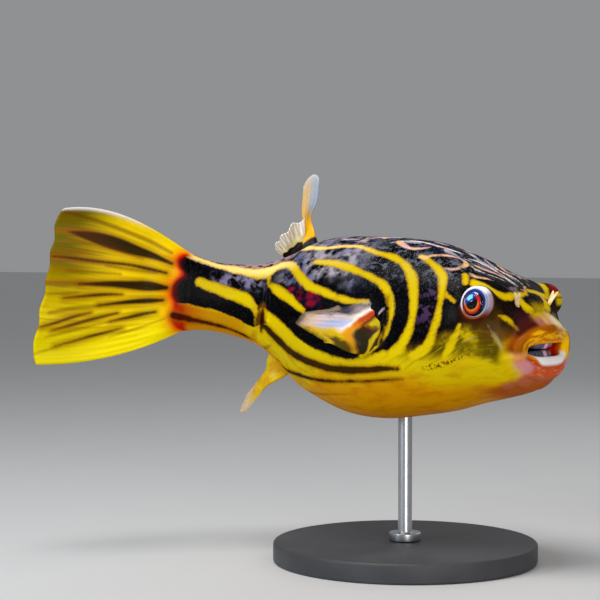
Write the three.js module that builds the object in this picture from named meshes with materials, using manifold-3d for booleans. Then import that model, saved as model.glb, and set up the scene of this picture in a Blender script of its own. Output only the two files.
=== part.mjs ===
// A freshwater pufferfish as a still, life-size model on a display stand.
// Millimetres, +Z up. The origin is the middle of the stand's foot, +X is the way the
// trunk faces, and -Y is the fish's right side.
//
// Places on the body are measured back along the spine from the lips. Across the spine,
// "left" runs to the fish's left and "up" to its back. The spine bends sideways, so the
// head looks to the right and the tail sweeps round to the right as well.

import * as THREE from 'three';
import { mergeVertices } from 'three/addons/utils/BufferGeometryUtils.js';
import Module from 'manifold-3d';

const wasm = await Module();
wasm.setup();

// ---- Driving dimensions ----------------------------------------------------------------

const GAP = 0.3;              // clearance between neighbouring pieces
const PITCH = 7;              // degrees that the snout points down
const SPINE_HEIGHT = 118;     // height of the spine above the foot, over the rod
const ROD_PLACE = 84;         // where along the spine the rod stands

const LIP_END = 4.4;          // the lips end and the head starts
const HEAD_END = 74;          // the head ends just before the gill openings
const TRUNK_END = 160;
const STEM_END = 203;         // the tail fin starts here
const BODY_END = 207;         // the flesh runs on a little into the tail fin

// Which way the spine faces, in degrees from +X, at places along it.
const HEADING = [
  [-10, -17], [0, -17], [24, -14], [58, -6], [98, 0], [134, 5],
  [150, 16], [166, 33], [182, 42], [223, 46], [280, 45],
];

// The body's outline, each as [place along the spine, distance from the spine].
const BACK = [
  [3, 12.5], [7, 16], [13, 21.5], [24, 29], [36, 33.5], [50, 38.5], [66, 42.5], [86, 43],
  [106, 41.5], [124, 39], [138, 34.5], [150, 27.5], [162, 21], [176, 18.5], [192, 18.5], [207, 22.5],
];
const BELLY = [
  [3, 14.5], [7, 19.5], [13, 22.5], [24, 27], [36, 31.5], [50, 37.5], [66, 42.5], [86, 47.5],
  [106, 48], [124, 43.5], [138, 38], [150, 29], [162, 21.5], [176, 18], [192, 17], [207, 19.5],
];
const SIDE = [
  [3, 21.5], [7, 24], [13, 26.5], [24, 31], [36, 33], [50, 35.5], [66, 38.5], [86, 41],
  [106, 39.5], [124, 34.5], [138, 27], [150, 19.5], [162, 13.5], [176, 10], [192, 7.5], [207, 4.2],
];
// How far below the spine the body is widest.
const SAG = [[3, 0], [13, 2], [36, 5], [66, 9], [92, 10.5], [106, 10], [124, 7], [150, 2], [176, 0], [207, 0]];

// How square the upper half of the body is: 1 is an ellipse, and less is squarer.
const ROUNDNESS = [
  [3, 1], [8, 1], [14, 0.82], [24, 0.64], [36, 0.72], [50, 0.82], [66, 0.89], [95, 0.93], [124, 1], [207, 1],
];

// The lips roll over and run back into the mouth, which widens behind them. Its corners lie
// further back than its middle.
const MOUTH = {
  lipDepth: 3.2, lipRoll: 0.8, halfWidth: 13, halfHeight: 3.8, throatDepth: 14, hollow: 0.7,
  cornerSetBack: 4, setBackEnds: 22,
};
const EYE = { place: 26, out: 28, up: 19.8, radius: 7.9, lid: 0.8, lidReach: 3.8, tilt: 8 };
// The flesh swells round each eye. `angle` is where that is round the body.
const BROW = { rise: 3, angle: 36, reach: 9, spread: 22 };

const STAND = { footRadius: 66, footHeight: 10, edge: 1.5, rodRadius: 3.5, collarRadius: 8, collarHeight: 4 };

// ---- Small maths -----------------------------------------------------------------------

const radians = THREE.MathUtils.degToRad;
const mix = THREE.MathUtils.lerp;
const clamp = THREE.MathUtils.clamp;

function ease(from, to, x) {
  const t = clamp((x - from) / (to - from), 0, 1);
  return t * t * (3 - 2 * t);
}

// A smooth curve through a few [place, value] points.
function along(points, x) {
  const slope = (i) => (points[i + 1][1] - points[i][1]) / (points[i + 1][0] - points[i][0]);
  const last = points.length - 1;
  const tangent = (i) => {
    if (i === 0) return slope(0);
    if (i === last) return slope(last - 1);
    const before = points[i][0] - points[i - 1][0];
    const after = points[i + 1][0] - points[i][0];
    return (slope(i - 1) * after + slope(i) * before) / (before + after);
  };
  let i = 0;
  while (i < last - 1 && x > points[i + 1][0]) i += 1;
  const span = points[i + 1][0] - points[i][0];
  const t = (x - points[i][0]) / span;
  const rest = 1 - t;
  return (1 + 2 * t) * rest * rest * points[i][1] + t * rest * rest * span * tangent(i)
    + t * t * (3 - 2 * t) * points[i + 1][1] - t * t * rest * span * tangent(i + 1);
}

// ---- The spine -------------------------------------------------------------------------

// Walks the spine in steps from the rod, so that the spine stands over the origin there.
const SPINE_STEP = 1;
const SPINE_START = -10;
const SPINE_STOP = 280;

function walkSpine(to) {
  const step = Math.sign(to - ROD_PLACE) * SPINE_STEP;
  const path = [[ROD_PLACE, 0, 0]];
  let [x, y] = [0, 0];
  for (let place = ROD_PLACE; step * (to - place) > 0; place += step) {
    const heading = radians(along(HEADING, place + step / 2));
    x -= step * Math.cos(heading) * Math.cos(radians(PITCH));
    y -= step * Math.sin(heading) * Math.cos(radians(PITCH));
    path.push([place + step, x, y]);
  }
  return path;
}

const SPINE = [...walkSpine(SPINE_START).reverse(), ...walkSpine(SPINE_STOP).slice(1)];

// The point of the spine at a place, with the directions forward, left and up there.
function spineAt(place) {
  const index = clamp(Math.floor((place - SPINE_START) / SPINE_STEP), 0, SPINE.length - 2);
  const [start, x0, y0] = SPINE[index];
  const [, x1, y1] = SPINE[index + 1];
  const t = (place - start) / SPINE_STEP;
  const height = SPINE_HEIGHT + (place - ROD_PLACE) * Math.sin(radians(PITCH));
  const heading = radians(along(HEADING, place));
  const level = Math.cos(radians(PITCH));
  const forward = new THREE.Vector3(
    Math.cos(heading) * level, Math.sin(heading) * level, -Math.sin(radians(PITCH)));
  const left = new THREE.Vector3(-Math.sin(heading), Math.cos(heading), 0);
  const up = new THREE.Vector3().crossVectors(forward, left);
  return { point: new THREE.Vector3(mix(x0, x1, t), mix(y0, y1, t), height), forward, left, up };
}

// A point given by its place along the spine and its distances left of and above it.
function onBody(place, left, up) {
  const spine = spineAt(place);
  return spine.point.clone().addScaledVector(spine.left, left).addScaledVector(spine.up, up);
}

// ---- The body's skin -------------------------------------------------------------------

// One ring of the skin. From the tail to the lips it follows the outline. At the lips it
// rolls over and runs back into the mouth, getting smaller, and ends in the throat.
function outerRing(place) {
  return {
    place, top: along(BACK, place), bottom: -along(BELLY, place), side: along(SIDE, place), outward: 1,
  };
}

function lipRing(turn) {   // turn goes from 0 outside to 1 inside the lips
  const outer = outerRing(MOUTH.lipDepth);
  const inward = (1 - Math.cos(turn * Math.PI)) / 2;
  return {
    place: MOUTH.lipDepth * (mix(1, 0.5, turn) - MOUTH.lipRoll * Math.sin(turn * Math.PI)),
    top: mix(outer.top, MOUTH.halfHeight, inward),
    bottom: mix(outer.bottom, -MOUTH.halfHeight, inward),
    side: mix(outer.side, MOUTH.halfWidth, inward),
    outward: Math.cos(turn * Math.PI),
  };
}

function throatRing(depth) {   // depth goes from 0 behind the lips to 1 at the throat's end
  const hollow = 1 + MOUTH.hollow * Math.sin(Math.min(depth * 1.3, 1) * Math.PI);
  const close = Math.sqrt(1 - depth * depth);
  return {
    place: mix(MOUTH.lipDepth / 2, MOUTH.throatDepth, depth),
    top: MOUTH.halfHeight * hollow * close,
    bottom: -MOUTH.halfHeight * hollow * close,
    side: MOUTH.halfWidth * close,
    outward: -1,
  };
}

// The rings from the tail's end to the throat's end, close together where the shape turns.
function bodyRings() {
  const rings = [outerRing(BODY_END)];
  const stretches = [[BODY_END, 195, 2], [195, 140, 9], [140, 44, 13], [44, 12, 7], [12, MOUTH.lipDepth, 4]];
  for (const [from, to, count] of stretches) {
    for (let i = 0; i < count; i += 1) rings.push(outerRing(mix(from, to, i / count)));
  }
  for (let i = 0; i < 6; i += 1) rings.push(lipRing(i / 6));
  for (let i = 0; i <= 4; i += 1) rings.push(throatRing(i / 4));
  return rings;
}

function browSwell(ring, angle) {
  const fromBack = Math.abs(Math.PI / 2 - angle);
  const around = (fromBack - radians(90 - BROW.angle)) / radians(BROW.spread);
  const lengthwise = (ring.place - EYE.place) / BROW.reach;
  return ring.outward > 0 ? BROW.rise * Math.exp(-around * around - lengthwise * lengthwise) : 0;
}

function skinPoint(ring, angle, swell) {   // angle 0 is the fish's left, 90 degrees its back
  const [across, rise] = [Math.cos(angle), Math.sin(angle)];
  const above = rise > 0;
  const sag = -along(SAG, Math.max(ring.place, MOUTH.lipDepth));
  const reach = above ? ring.top - sag : sag - ring.bottom;
  const power = above ? along(ROUNDNESS, Math.max(ring.place, MOUTH.lipDepth)) : 1;
  const grow = swell * ring.outward;
  const brow = 1 + browSwell(ring, angle) / ring.side;
  const left = brow * (ring.side + grow) * Math.sign(across) * Math.abs(across) ** power;
  const up = sag + brow * (reach + grow) * Math.sign(rise) * Math.abs(rise) ** power;
  const setBack = MOUTH.cornerSetBack * (1 - ease(MOUTH.lipDepth, MOUTH.setBackEnds, ring.place)) * across ** 2;
  return onBody(ring.place, left, up).addScaledVector(spineAt(ring.place).forward, -setBack);
}

// ---- Closed meshes and solids ----------------------------------------------------------

// Moves every vertex of a geometry and returns it as a solid. `move` gets the vertex and
// returns its new place.
function solidFrom(geometry, move = (vertex) => vertex) {
  const position = geometry.attributes.position;
  const vertex = new THREE.Vector3();
  for (let i = 0; i < position.count; i += 1) {
    const moved = move(vertex.fromBufferAttribute(position, i).clone());
    position.setXYZ(i, moved.x, moved.y, moved.z);
  }
  geometry.deleteAttribute('normal');
  geometry.deleteAttribute('uv');
  const merged = mergeVertices(geometry, 1e-4);
  const triangles = withoutSlivers(merged.index.array);
  const signed = signedVolume(merged.attributes.position, triangles);
  if (signed < 0) {
    for (let i = 0; i < triangles.length; i += 3) {
      [triangles[i], triangles[i + 1]] = [triangles[i + 1], triangles[i]];
    }
  }
  return new wasm.Manifold(new wasm.Mesh({
    numProp: 3,
    vertProperties: new Float32Array(merged.attributes.position.array),
    triVerts: new Uint32Array(triangles),
  }));
}

// Leaves out the triangles that merging has closed to a line, as at a sphere's poles.
function withoutSlivers(index) {
  const kept = [];
  for (let i = 0; i < index.length; i += 3) {
    const [a, b, c] = [index[i], index[i + 1], index[i + 2]];
    if (a !== b && b !== c && c !== a) kept.push(a, b, c);
  }
  return kept;
}

function signedVolume(position, triangles) {
  let volume = 0;
  for (let i = 0; i < triangles.length; i += 3) {
    const [a, b, c] = [0, 1, 2].map((k) => new THREE.Vector3().fromBufferAttribute(position, triangles[i + k]));
    volume += a.dot(b.cross(c)) / 6;
  }
  return volume;
}

const AROUND = 32;            // facets round the body

// The body's whole skin as one solid. A swell of more than 0 grows it on every side.
function bodySolid(swell) {
  const rings = bodyRings();
  const sphere = new THREE.SphereGeometry(1, AROUND, rings.length - 1);
  const inRow = AROUND + 1;
  const position = sphere.attributes.position;
  for (let i = 0; i < position.count; i += 1) {
    const row = Math.floor(i / inRow);
    const angle = ((i % inRow) % AROUND) / AROUND * 2 * Math.PI;
    const last = row === 0 || row === rings.length - 1;
    const ring = last ? { ...rings[row], top: 0, bottom: 0, side: 0 } : rings[row];
    const moved = last ? onBody(ring.place, 0, 0) : skinPoint(ring, angle, swell);
    position.setXYZ(i, moved.x, moved.y, moved.z);
  }
  return solidFrom(sphere);
}

// Keeps the part of a solid that lies ahead of a place along the spine, or behind it.
function ahead(solid, place) {
  const { point, forward } = spineAt(place - GAP / 2);
  return solid.trimByPlane(forward.toArray(), point.dot(forward));
}

function behind(solid, place) {
  const { point, forward } = spineAt(place + GAP / 2);
  return solid.trimByPlane(forward.clone().negate().toArray(), -point.dot(forward));
}

// ---- Fins ------------------------------------------------------------------------------

// A fin is a thin plate round a middle surface. `surface` gives the point at u along the
// rays, from 0 at the root to 1 at the tip, and v across them. `thickness` is the full one.
function finSolid({ surface, thickness, alongRays, acrossRays }) {
  const nudge = 1e-3;
  return solidFrom(new THREE.BoxGeometry(1, 1, 1, alongRays, acrossRays, 1), (vertex) => {
    const [u, v] = [vertex.x + 0.5, vertex.y + 0.5];
    const rayward = surface(u + nudge, v).sub(surface(u - nudge, v));
    const across = surface(u, v + nudge).sub(surface(u, v - nudge));
    const normal = rayward.cross(across).normalize();
    return surface(u, v).addScaledVector(normal, vertex.z * thickness(u, v));
  });
}

// The tail fin is a fan whose rays spread at the root and bend back towards the middle
// on their way. Its root has the tail stem's own section. Its lower rays are the longer
// ones, its corners are rounded, and its edge is scalloped between the rays.
const TAIL_FIN = {
  length: 71.5, rays: 11, lowest: -32.5, highest: 26.5, straighten: [0.42, 0.55],
  slant: 3.5, hollow: 3, corner: 2.5, scallop: 1.2, thickness: 2, tipThickness: 0.8,
};

function tailFin(u, v) {
  const across = 2 * v - 1;
  const corner = clamp((Math.abs(across) - 0.85) / 0.15, 0, 1);
  const scallop = Math.cos(across * Math.PI * TAIL_FIN.rays / 2) * ease(0.5, 1, u);
  const length = TAIL_FIN.length - TAIL_FIN.slant * across + TAIL_FIN.hollow * across ** 2
    - TAIL_FIN.corner * corner ** 2 + TAIL_FIN.scallop * scallop;
  const spread = radians(mix(TAIL_FIN.lowest, TAIL_FIN.highest, v));
  const direction = spread * (1 - mix(...TAIL_FIN.straighten, v) * Math.max(u, 0) ** (1 + v));
  const root = STEM_END + GAP / 2;
  const height = mix(-along(BELLY, root), along(BACK, root), v);
  return onBody(root + length * u * Math.cos(direction), 0, height + length * u * Math.sin(direction));
}

function tailFinThickness(u, v) {
  const stem = 2 * along(SIDE, STEM_END) * Math.sqrt(Math.max(1 - (2 * v - 1) ** 2, 0));
  const plate = mix(TAIL_FIN.thickness, TAIL_FIN.tipThickness, ease(0, 1, u));
  return Math.max(mix(stem, plate, ease(0, 0.3, u)), TAIL_FIN.tipThickness);
}

// The fin on the back has two parts. Its front rays stand up as a tall blade, pinched at
// the neck. Its rear rays are a short fan that leaves the blade at the neck and lies over
// to the right. `lean` is how far each leans back, in degrees, and `flop` is how far the
// fan lies over.
const BACK_FIN = {
  root: 3, thickness: 5, tipThickness: 0.9,
  blade: { place: 137.3, base: 7, length: 38.5, corner: 3, neck: 0.4, pinch: 0.66, lean: [9.5, 6.5] },
  fan: { place: 143, base: 9, length: [17, 10], lean: [7, 42], flop: [4, 42] },
};

function backBlade(u, v) {
  const { place: front, base, corner, lean: [rootLean, tipLean] } = BACK_FIN.blade;
  const place = front + base * v;
  const length = BACK_FIN.blade.length - corner * (Math.abs(2 * v - 1) ** 3 + 0.5 * ease(0.4, 1, v));
  const neck = Math.exp(-(((u - BACK_FIN.blade.neck) / 0.17) ** 2));
  const offset = (v - 0.8) * base;
  const narrowing = offset * (BACK_FIN.blade.pinch * neck - 0.2 * ease(0.45, 0.7, u));
  const lean = radians(mix(rootLean, tipLean, ease(0.4, 1, u)));
  const { forward, left, up } = spineAt(place);
  return onBody(place, 0, along(BACK, place) - BACK_FIN.root)
    .addScaledVector(forward, narrowing - length * u * Math.sin(lean))
    .addScaledVector(up, length * u * Math.cos(lean))
    .addScaledVector(left, -0.45 * neck * offset);
}

function backFan(u, v) {
  const place = BACK_FIN.fan.place + BACK_FIN.fan.base * v;
  const length = mix(...BACK_FIN.fan.length, v * v);
  const lean = radians(mix(...BACK_FIN.fan.lean, v));
  const flop = radians(mix(...BACK_FIN.fan.flop, ease(0, 0.7, v)));
  const { forward, left, up } = spineAt(place);
  return onBody(place, 0, along(BACK, place) - BACK_FIN.root)
    .addScaledVector(forward, -length * u * Math.sin(lean))
    .addScaledVector(up, length * u * Math.cos(lean) * Math.cos(flop))
    .addScaledVector(left, -length * u * Math.cos(lean) * Math.sin(flop));
}

function backFinThickness(u) {
  return mix(BACK_FIN.thickness, BACK_FIN.tipThickness, ease(0, 0.35, u));
}

// The fin under the tail, twisted so that its tip is nearly square to the body.
const VENT_FIN = {
  place: 142.5, base: 12, length: 35, rearShort: 5, frontShort: 5, root: 3, lean: 31, twist: 78, narrow: 0.65,
  thickness: 4, tipThickness: 0.9,
};

function ventFin(u, v) {
  const place = VENT_FIN.place + VENT_FIN.base * v;
  const length = VENT_FIN.length - VENT_FIN.rearShort * ease(0.5, 1, v) - VENT_FIN.frontShort * (1 - ease(0, 0.5, v));
  const twist = radians(VENT_FIN.twist) * ease(0, 0.5, u);
  const offset = (v - 0.6) * VENT_FIN.base;
  const width = 1 - VENT_FIN.narrow * ease(0, 0.7, u);
  const lean = radians(VENT_FIN.lean);
  const { forward, left, up } = spineAt(place);
  return onBody(place, 0, VENT_FIN.root - along(BELLY, place))
    .addScaledVector(forward, offset * (1 - Math.cos(twist) * width) - length * u * Math.sin(lean))
    .addScaledVector(up, -length * u * Math.cos(lean))
    .addScaledVector(left, offset * Math.sin(twist) * width);
}

function ventFinThickness(u) {
  return mix(VENT_FIN.thickness, VENT_FIN.tipThickness, ease(0, 0.5, u));
}

// The fins behind the gills: a thick fleshy lobe, then a fan of rays. The right one is
// folded back and twisted, and the left one is spread. `side` is 1 for the left.
const SIDE_FIN = {
  place: 79, highest: 12, base: 24, root: 3, lobe: 0.35, thickness: 7, tipThickness: 0.9,
  right: { side: -1, length: 42, lowerShort: 22, upperShort: 3, flare: 34, twist: 55, spread: 0.2 },
  left: { side: 1, length: 38, lowerShort: 9, upperShort: 4, flare: 38, twist: 14, spread: 0.55 },
};

function sideFin(pose) {
  return (u, v) => {
    const place = SIDE_FIN.place + 2 * Math.abs(v - 0.5);
    const height = SIDE_FIN.highest - SIDE_FIN.base * v;
    const length = pose.length - pose.lowerShort * ease(0.5, 1, v) - pose.upperShort * (1 - ease(0, 0.25, v));
    const twist = radians(pose.twist) * ease(0.15, 0.9, u);
    const offset = (0.5 - v) * SIDE_FIN.base;
    const grow = 1 + pose.spread * u;
    const flare = radians(pose.flare);
    const out = bodyHalfWidth(place, height) - SIDE_FIN.root
      + length * u * Math.sin(flare) - offset * grow * Math.sin(twist);
    const { forward, up } = spineAt(place);
    return onBody(place, pose.side * out, height)
      .addScaledVector(forward, -length * u * Math.cos(flare))
      .addScaledVector(up, offset * (grow * Math.cos(twist) - 1));
  };
}

function sideFinThickness(u, v) {
  const lobe = SIDE_FIN.thickness * Math.sqrt(Math.max(1 - (2 * v - 1) ** 2, 0.05));
  return mix(lobe, SIDE_FIN.tipThickness, ease(SIDE_FIN.lobe * 0.5, SIDE_FIN.lobe * 1.3, u));
}

function bodyHalfWidth(place, height) {
  const sag = -along(SAG, place);
  const reach = height > sag ? along(BACK, place) - sag : sag + along(BELLY, place);
  return along(SIDE, place) * Math.sqrt(1 - ((height - sag) / reach) ** 2);
}

// ---- Eyes, beak and nostrils -----------------------------------------------------------

function ball(centre, radius, across = 16, rows = 9) {
  return solidFrom(new THREE.SphereGeometry(radius, across, rows), (vertex) => vertex.add(centre));
}

function eyeCentre(side) {
  return onBody(EYE.place, side * EYE.out, EYE.up);
}

function eyeAxis(side) {
  const { left, up } = spineAt(EYE.place);
  const tilt = radians(EYE.tilt);
  return left.clone().multiplyScalar(side * Math.cos(tilt)).addScaledVector(up, Math.sin(tilt));
}

// Points the +Y of a geometry along an axis and takes its origin to a place.
function set(geometry, axis, place) {
  const turn = new THREE.Quaternion().setFromUnitVectors(new THREE.Vector3(0, 1, 0), axis);
  return solidFrom(geometry, (vertex) => vertex.applyQuaternion(turn).add(place));
}

// Adds the round socket that holds an eye, with a lid all round that leaves the eye's
// front bare.
function withSocket(solid, side) {
  const centre = eyeCentre(side);
  const axis = eyeAxis(side);
  const opening = new THREE.CylinderGeometry(EYE.radius * 1.5, EYE.radius * 1.5, EYE.radius, 12);
  const front = centre.clone().addScaledVector(axis, EYE.lidReach + EYE.radius / 2);
  return solid
    .add(ball(centre, EYE.radius + EYE.lid))
    .subtract(ball(centre, EYE.radius + GAP))
    .subtract(set(opening, axis, front));
}

// The two plates of the beak: rounded blades in the mouth, upper (1) and lower (-1).
const BEAK = { place: 5.5, edge: 1.3, halfWidth: 9.5, halfHeight: 7, halfDepth: 2.4, curve: 0.03 };

function beakPlate(updown) {
  const middle = updown * (BEAK.edge + BEAK.halfHeight);
  return solidFrom(new THREE.SphereGeometry(1, 16, 8), (vertex) => {
    const left = vertex.x * BEAK.halfWidth;
    const bend = BEAK.curve * left * left;
    return onBody(BEAK.place + bend + vertex.z * BEAK.halfDepth, left, middle + vertex.y * BEAK.halfHeight);
  });
}

// A nostril is a small tentacle that leans outwards and forks into two leaves.
const NOSTRIL = {
  place: 14.5, out: 12, height: 6.5, root: 3, outward: 0.45, forward: 0.2, fork: 0.35,
  stalk: 1.2, leaf: 1.5, leafThickness: 0.8,
};

function nostril(side) {
  const base = onBody(NOSTRIL.place, side * NOSTRIL.out, bodyTop(NOSTRIL.place, NOSTRIL.out) - NOSTRIL.root);
  const { forward, left, up } = spineAt(NOSTRIL.place);
  const rise = up.clone()
    .addScaledVector(left, side * NOSTRIL.outward)
    .addScaledVector(forward, NOSTRIL.forward)
    .normalize();
  const length = NOSTRIL.height + NOSTRIL.root;
  const stalk = new THREE.CylinderGeometry(NOSTRIL.stalk * 0.8, NOSTRIL.stalk, length * 0.7, 6, 1);
  let solid = set(stalk, rise, base.clone().addScaledVector(rise, length * 0.35));
  for (const fork of [1, -1]) {
    const axis = rise.clone().addScaledVector(forward, fork * NOSTRIL.fork).normalize();
    const leaf = new THREE.SphereGeometry(1, 8, 6);
    leaf.scale(NOSTRIL.leaf, length * 0.36, NOSTRIL.leafThickness);
    solid = solid.add(set(leaf, axis, base.clone().addScaledVector(axis, length * 0.66)));
  }
  return solid;
}

function bodyTop(place, out) {
  const sag = -along(SAG, place);
  const power = along(ROUNDNESS, place);
  const across = (out / along(SIDE, place)) ** (1 / power);
  return sag + (along(BACK, place) - sag) * (1 - across * across) ** (power / 2);
}

// ---- The display stand -----------------------------------------------------------------

function lathe(profile, segments) {
  const turned = new THREE.LatheGeometry(profile.map(([r, z]) => new THREE.Vector2(r, z)), segments);
  return turned.rotateX(Math.PI / 2);
}

function standFoot() {
  const { footRadius: r, footHeight: h, edge } = STAND;
  return solidFrom(lathe([[0, 0], [r - edge, 0], [r, edge], [r, h - edge], [r - edge, h], [0, h]], 40));
}

// The rod runs up into the belly and is trimmed to it.
function standRod() {
  const { rodRadius: r, collarRadius: c, collarHeight, footHeight } = STAND;
  const low = footHeight + GAP;
  const profile = [[0, low], [c, low], [c, low + collarHeight - 1], [c - 1, low + collarHeight],
    [r, low + collarHeight], [r, SPINE_HEIGHT], [0, SPINE_HEIGHT]];
  return solidFrom(lathe(profile, 20));
}

// ---- The scene graph -------------------------------------------------------------------

const COLOURS = {
  flesh: { color: 0xc9a21c, roughness: 0.45 },
  fin: { color: 0xd8b62a, roughness: 0.5 },
  lip: { color: 0xc98a4a, roughness: 0.4 },
  beak: { color: 0xb9b4bd, roughness: 0.3 },
  eye: { color: 0x8c2a1c, roughness: 0.1 },
  nostril: { color: 0xd9c79a, roughness: 0.5 },
  foot: { color: 0x2c2d30, roughness: 0.55 },
  rod: { color: 0xb4b6ba, roughness: 0.35, metalness: 1 },
};

const pufferfish = new THREE.Group();

// Adds a solid to the group as a named mesh. Cutting can leave crumbs, so the largest body is kept.
function addNode(name, solid, look) {
  const largest = solid.decompose().sort((a, b) => b.volume() - a.volume())[0];
  const { vertProperties, triVerts } = largest.getMesh();
  const geometry = new THREE.BufferGeometry();
  geometry.setAttribute('position', new THREE.BufferAttribute(vertProperties, 3));
  geometry.setIndex(new THREE.BufferAttribute(triVerts, 1));
  geometry.computeVertexNormals();
  const mesh = new THREE.Mesh(geometry, new THREE.MeshStandardMaterial(COLOURS[look]));
  mesh.name = name;
  pufferfish.add(mesh);
}

const body = withSocket(withSocket(bodySolid(0), 1), -1);
const clearance = bodySolid(GAP);

addNode('head', behind(ahead(body, HEAD_END), LIP_END), 'flesh');
addNode('trunk', ahead(behind(body, HEAD_END), TRUNK_END), 'flesh');
addNode('tail_stem', ahead(behind(body, TRUNK_END), STEM_END), 'flesh');

const lips = ahead(body, LIP_END);
const { point: lipPoint, up: lipUp } = spineAt(0);
const lipLevel = lipPoint.dot(lipUp);
addNode('lip_upper', lips.trimByPlane(lipUp.toArray(), lipLevel + GAP / 2), 'lip');
addNode('lip_lower', lips.trimByPlane(lipUp.clone().negate().toArray(), GAP / 2 - lipLevel), 'lip');
addNode('beak_upper', beakPlate(1).subtract(clearance), 'beak');
addNode('beak_lower', beakPlate(-1).subtract(clearance), 'beak');

for (const word of ['left', 'right']) {
  const pose = SIDE_FIN[word];
  addNode(`eye_${word}`, ball(eyeCentre(pose.side), EYE.radius), 'eye');
  addNode(`nostril_${word}`, nostril(pose.side).subtract(clearance), 'nostril');
  const fin = finSolid({ surface: sideFin(pose), thickness: sideFinThickness, alongRays: 8, acrossRays: 10 });
  addNode(`pectoral_fin_${word}`, fin.subtract(clearance), 'fin');
}

const blade = finSolid({ surface: backBlade, thickness: backFinThickness, alongRays: 10, acrossRays: 6 });
const fan = finSolid({ surface: backFan, thickness: backFinThickness, alongRays: 4, acrossRays: 7 });
addNode('dorsal_fin', blade.add(fan).subtract(clearance), 'fin');
const anal = finSolid({ surface: ventFin, thickness: ventFinThickness, alongRays: 8, acrossRays: 8 });
addNode('anal_fin', anal.subtract(clearance), 'fin');
addNode('caudal_fin', finSolid({
  surface: tailFin, thickness: tailFinThickness, alongRays: 10, acrossRays: 2 * TAIL_FIN.rays,
}), 'fin');

addNode('stand_foot', standFoot(), 'foot');
addNode('stand_rod', standRod().subtract(clearance), 'rod');

export default pufferfish;
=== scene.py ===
# %% [markdown]
# # A striped puffer on a museum stand
#
# This notebook gives a still, life-size pufferfish its looks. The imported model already
# says where everything is and how big it is, so the notebook never moves a part. It makes
# a finer skin, fins, eyes, beak and stand over the plain solids, and paints them.
#
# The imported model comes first, because every later cell works inside it.

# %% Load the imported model
import math

import bmesh
import bpy
import numpy as np
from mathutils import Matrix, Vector


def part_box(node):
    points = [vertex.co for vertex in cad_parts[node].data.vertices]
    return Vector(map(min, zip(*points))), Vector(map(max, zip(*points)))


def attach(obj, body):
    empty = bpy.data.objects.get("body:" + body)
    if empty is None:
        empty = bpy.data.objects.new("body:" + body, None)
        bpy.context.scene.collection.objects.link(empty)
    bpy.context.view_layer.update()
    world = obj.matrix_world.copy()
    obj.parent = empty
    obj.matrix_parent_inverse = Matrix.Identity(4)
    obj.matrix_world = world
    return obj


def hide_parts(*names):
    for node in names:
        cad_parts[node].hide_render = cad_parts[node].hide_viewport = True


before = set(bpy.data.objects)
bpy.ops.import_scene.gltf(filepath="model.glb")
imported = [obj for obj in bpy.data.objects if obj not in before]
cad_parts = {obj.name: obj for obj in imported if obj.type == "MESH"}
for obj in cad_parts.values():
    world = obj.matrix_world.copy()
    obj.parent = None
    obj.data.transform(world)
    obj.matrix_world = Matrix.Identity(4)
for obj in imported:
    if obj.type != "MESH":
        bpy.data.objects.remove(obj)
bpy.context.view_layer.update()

MM = 0.001   # the fish is worked out in millimetres, and Blender holds it in metres

# %% [markdown]
# ## Camera, floor and light
#
# The camera stands a little way off with a long lens, so that the head, which is nearest,
# isn't swollen. The light is one broad soft box overhead, a cooler one at the upper left that
# puts a blue glint on wet skin, and a weak fill. The floor is pale and reaches the horizon,
# and throws light back up on to the belly.

# %% The camera
def look(azimuth, elevation, distance, target, lens):
    turn = math.radians(azimuth)
    rise = math.radians(elevation)
    away = Vector((math.sin(turn) * math.cos(rise), -math.cos(turn) * math.cos(rise), math.sin(rise)))
    data = bpy.data.cameras.new("camera")
    data.lens = lens
    data.clip_start = 0.05
    camera = bpy.data.objects.new("camera", data)
    camera.location = Vector(target) + away * distance
    camera.rotation_euler = away.to_track_quat("Z", "Y").to_euler()
    bpy.context.collection.objects.link(camera)
    return camera


scene = bpy.context.scene
scene.camera = look(azimuth=27, elevation=2, distance=0.9, target=(-0.04839, -0.02077, 0.13021), lens=108)
print("camera at", [round(c, 3) for c in scene.camera.location])


# %% Soft boxes and sky
def soft_box(name, location, target, size, power, colour):
    data = bpy.data.lights.new(name, "AREA")
    data.shape = "DISK"
    data.size = size
    data.energy = power
    data.color = colour
    light = bpy.data.objects.new(name, data)
    light.location = location
    light.rotation_euler = (Vector(location) - Vector(target)).to_track_quat("Z", "Y").to_euler()
    bpy.context.collection.objects.link(light)


FISH = (-0.04, 0, 0.12)
soft_box("overhead", (-0.1, -0.3, 0.9), FISH, 0.4, 5.2, (1.0, 0.98, 0.95))
soft_box("cool_side", (-0.5, -0.8, 0.45), FISH, 0.3, 3.0, (0.74, 0.87, 1.0))
soft_box("fill", (0.7, -0.8, 0.25), FISH, 0.5, 3.4, (1.0, 0.97, 0.94))
soft_box("rim", (0.1, 0.8, 0.6), FISH, 0.4, 0.7, (1.0, 1.0, 1.0))

world = bpy.data.worlds.new("studio")
world.use_nodes = True
world.node_tree.nodes["Background"].inputs["Color"].default_value = (0.93, 0.94, 0.96, 1)
world.node_tree.nodes["Background"].inputs["Strength"].default_value = 0.3
scene.world = world
scene.view_settings.view_transform = "Standard"

# %% [markdown]
# ## Finishes
#
# A finish is a node tree, and a tree made by hand is hard to read back. A small class
# wraps each output, so that sums on it read as arithmetic and add Math nodes. A second
# class holds the material and has one method for every other kind of node.


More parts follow.
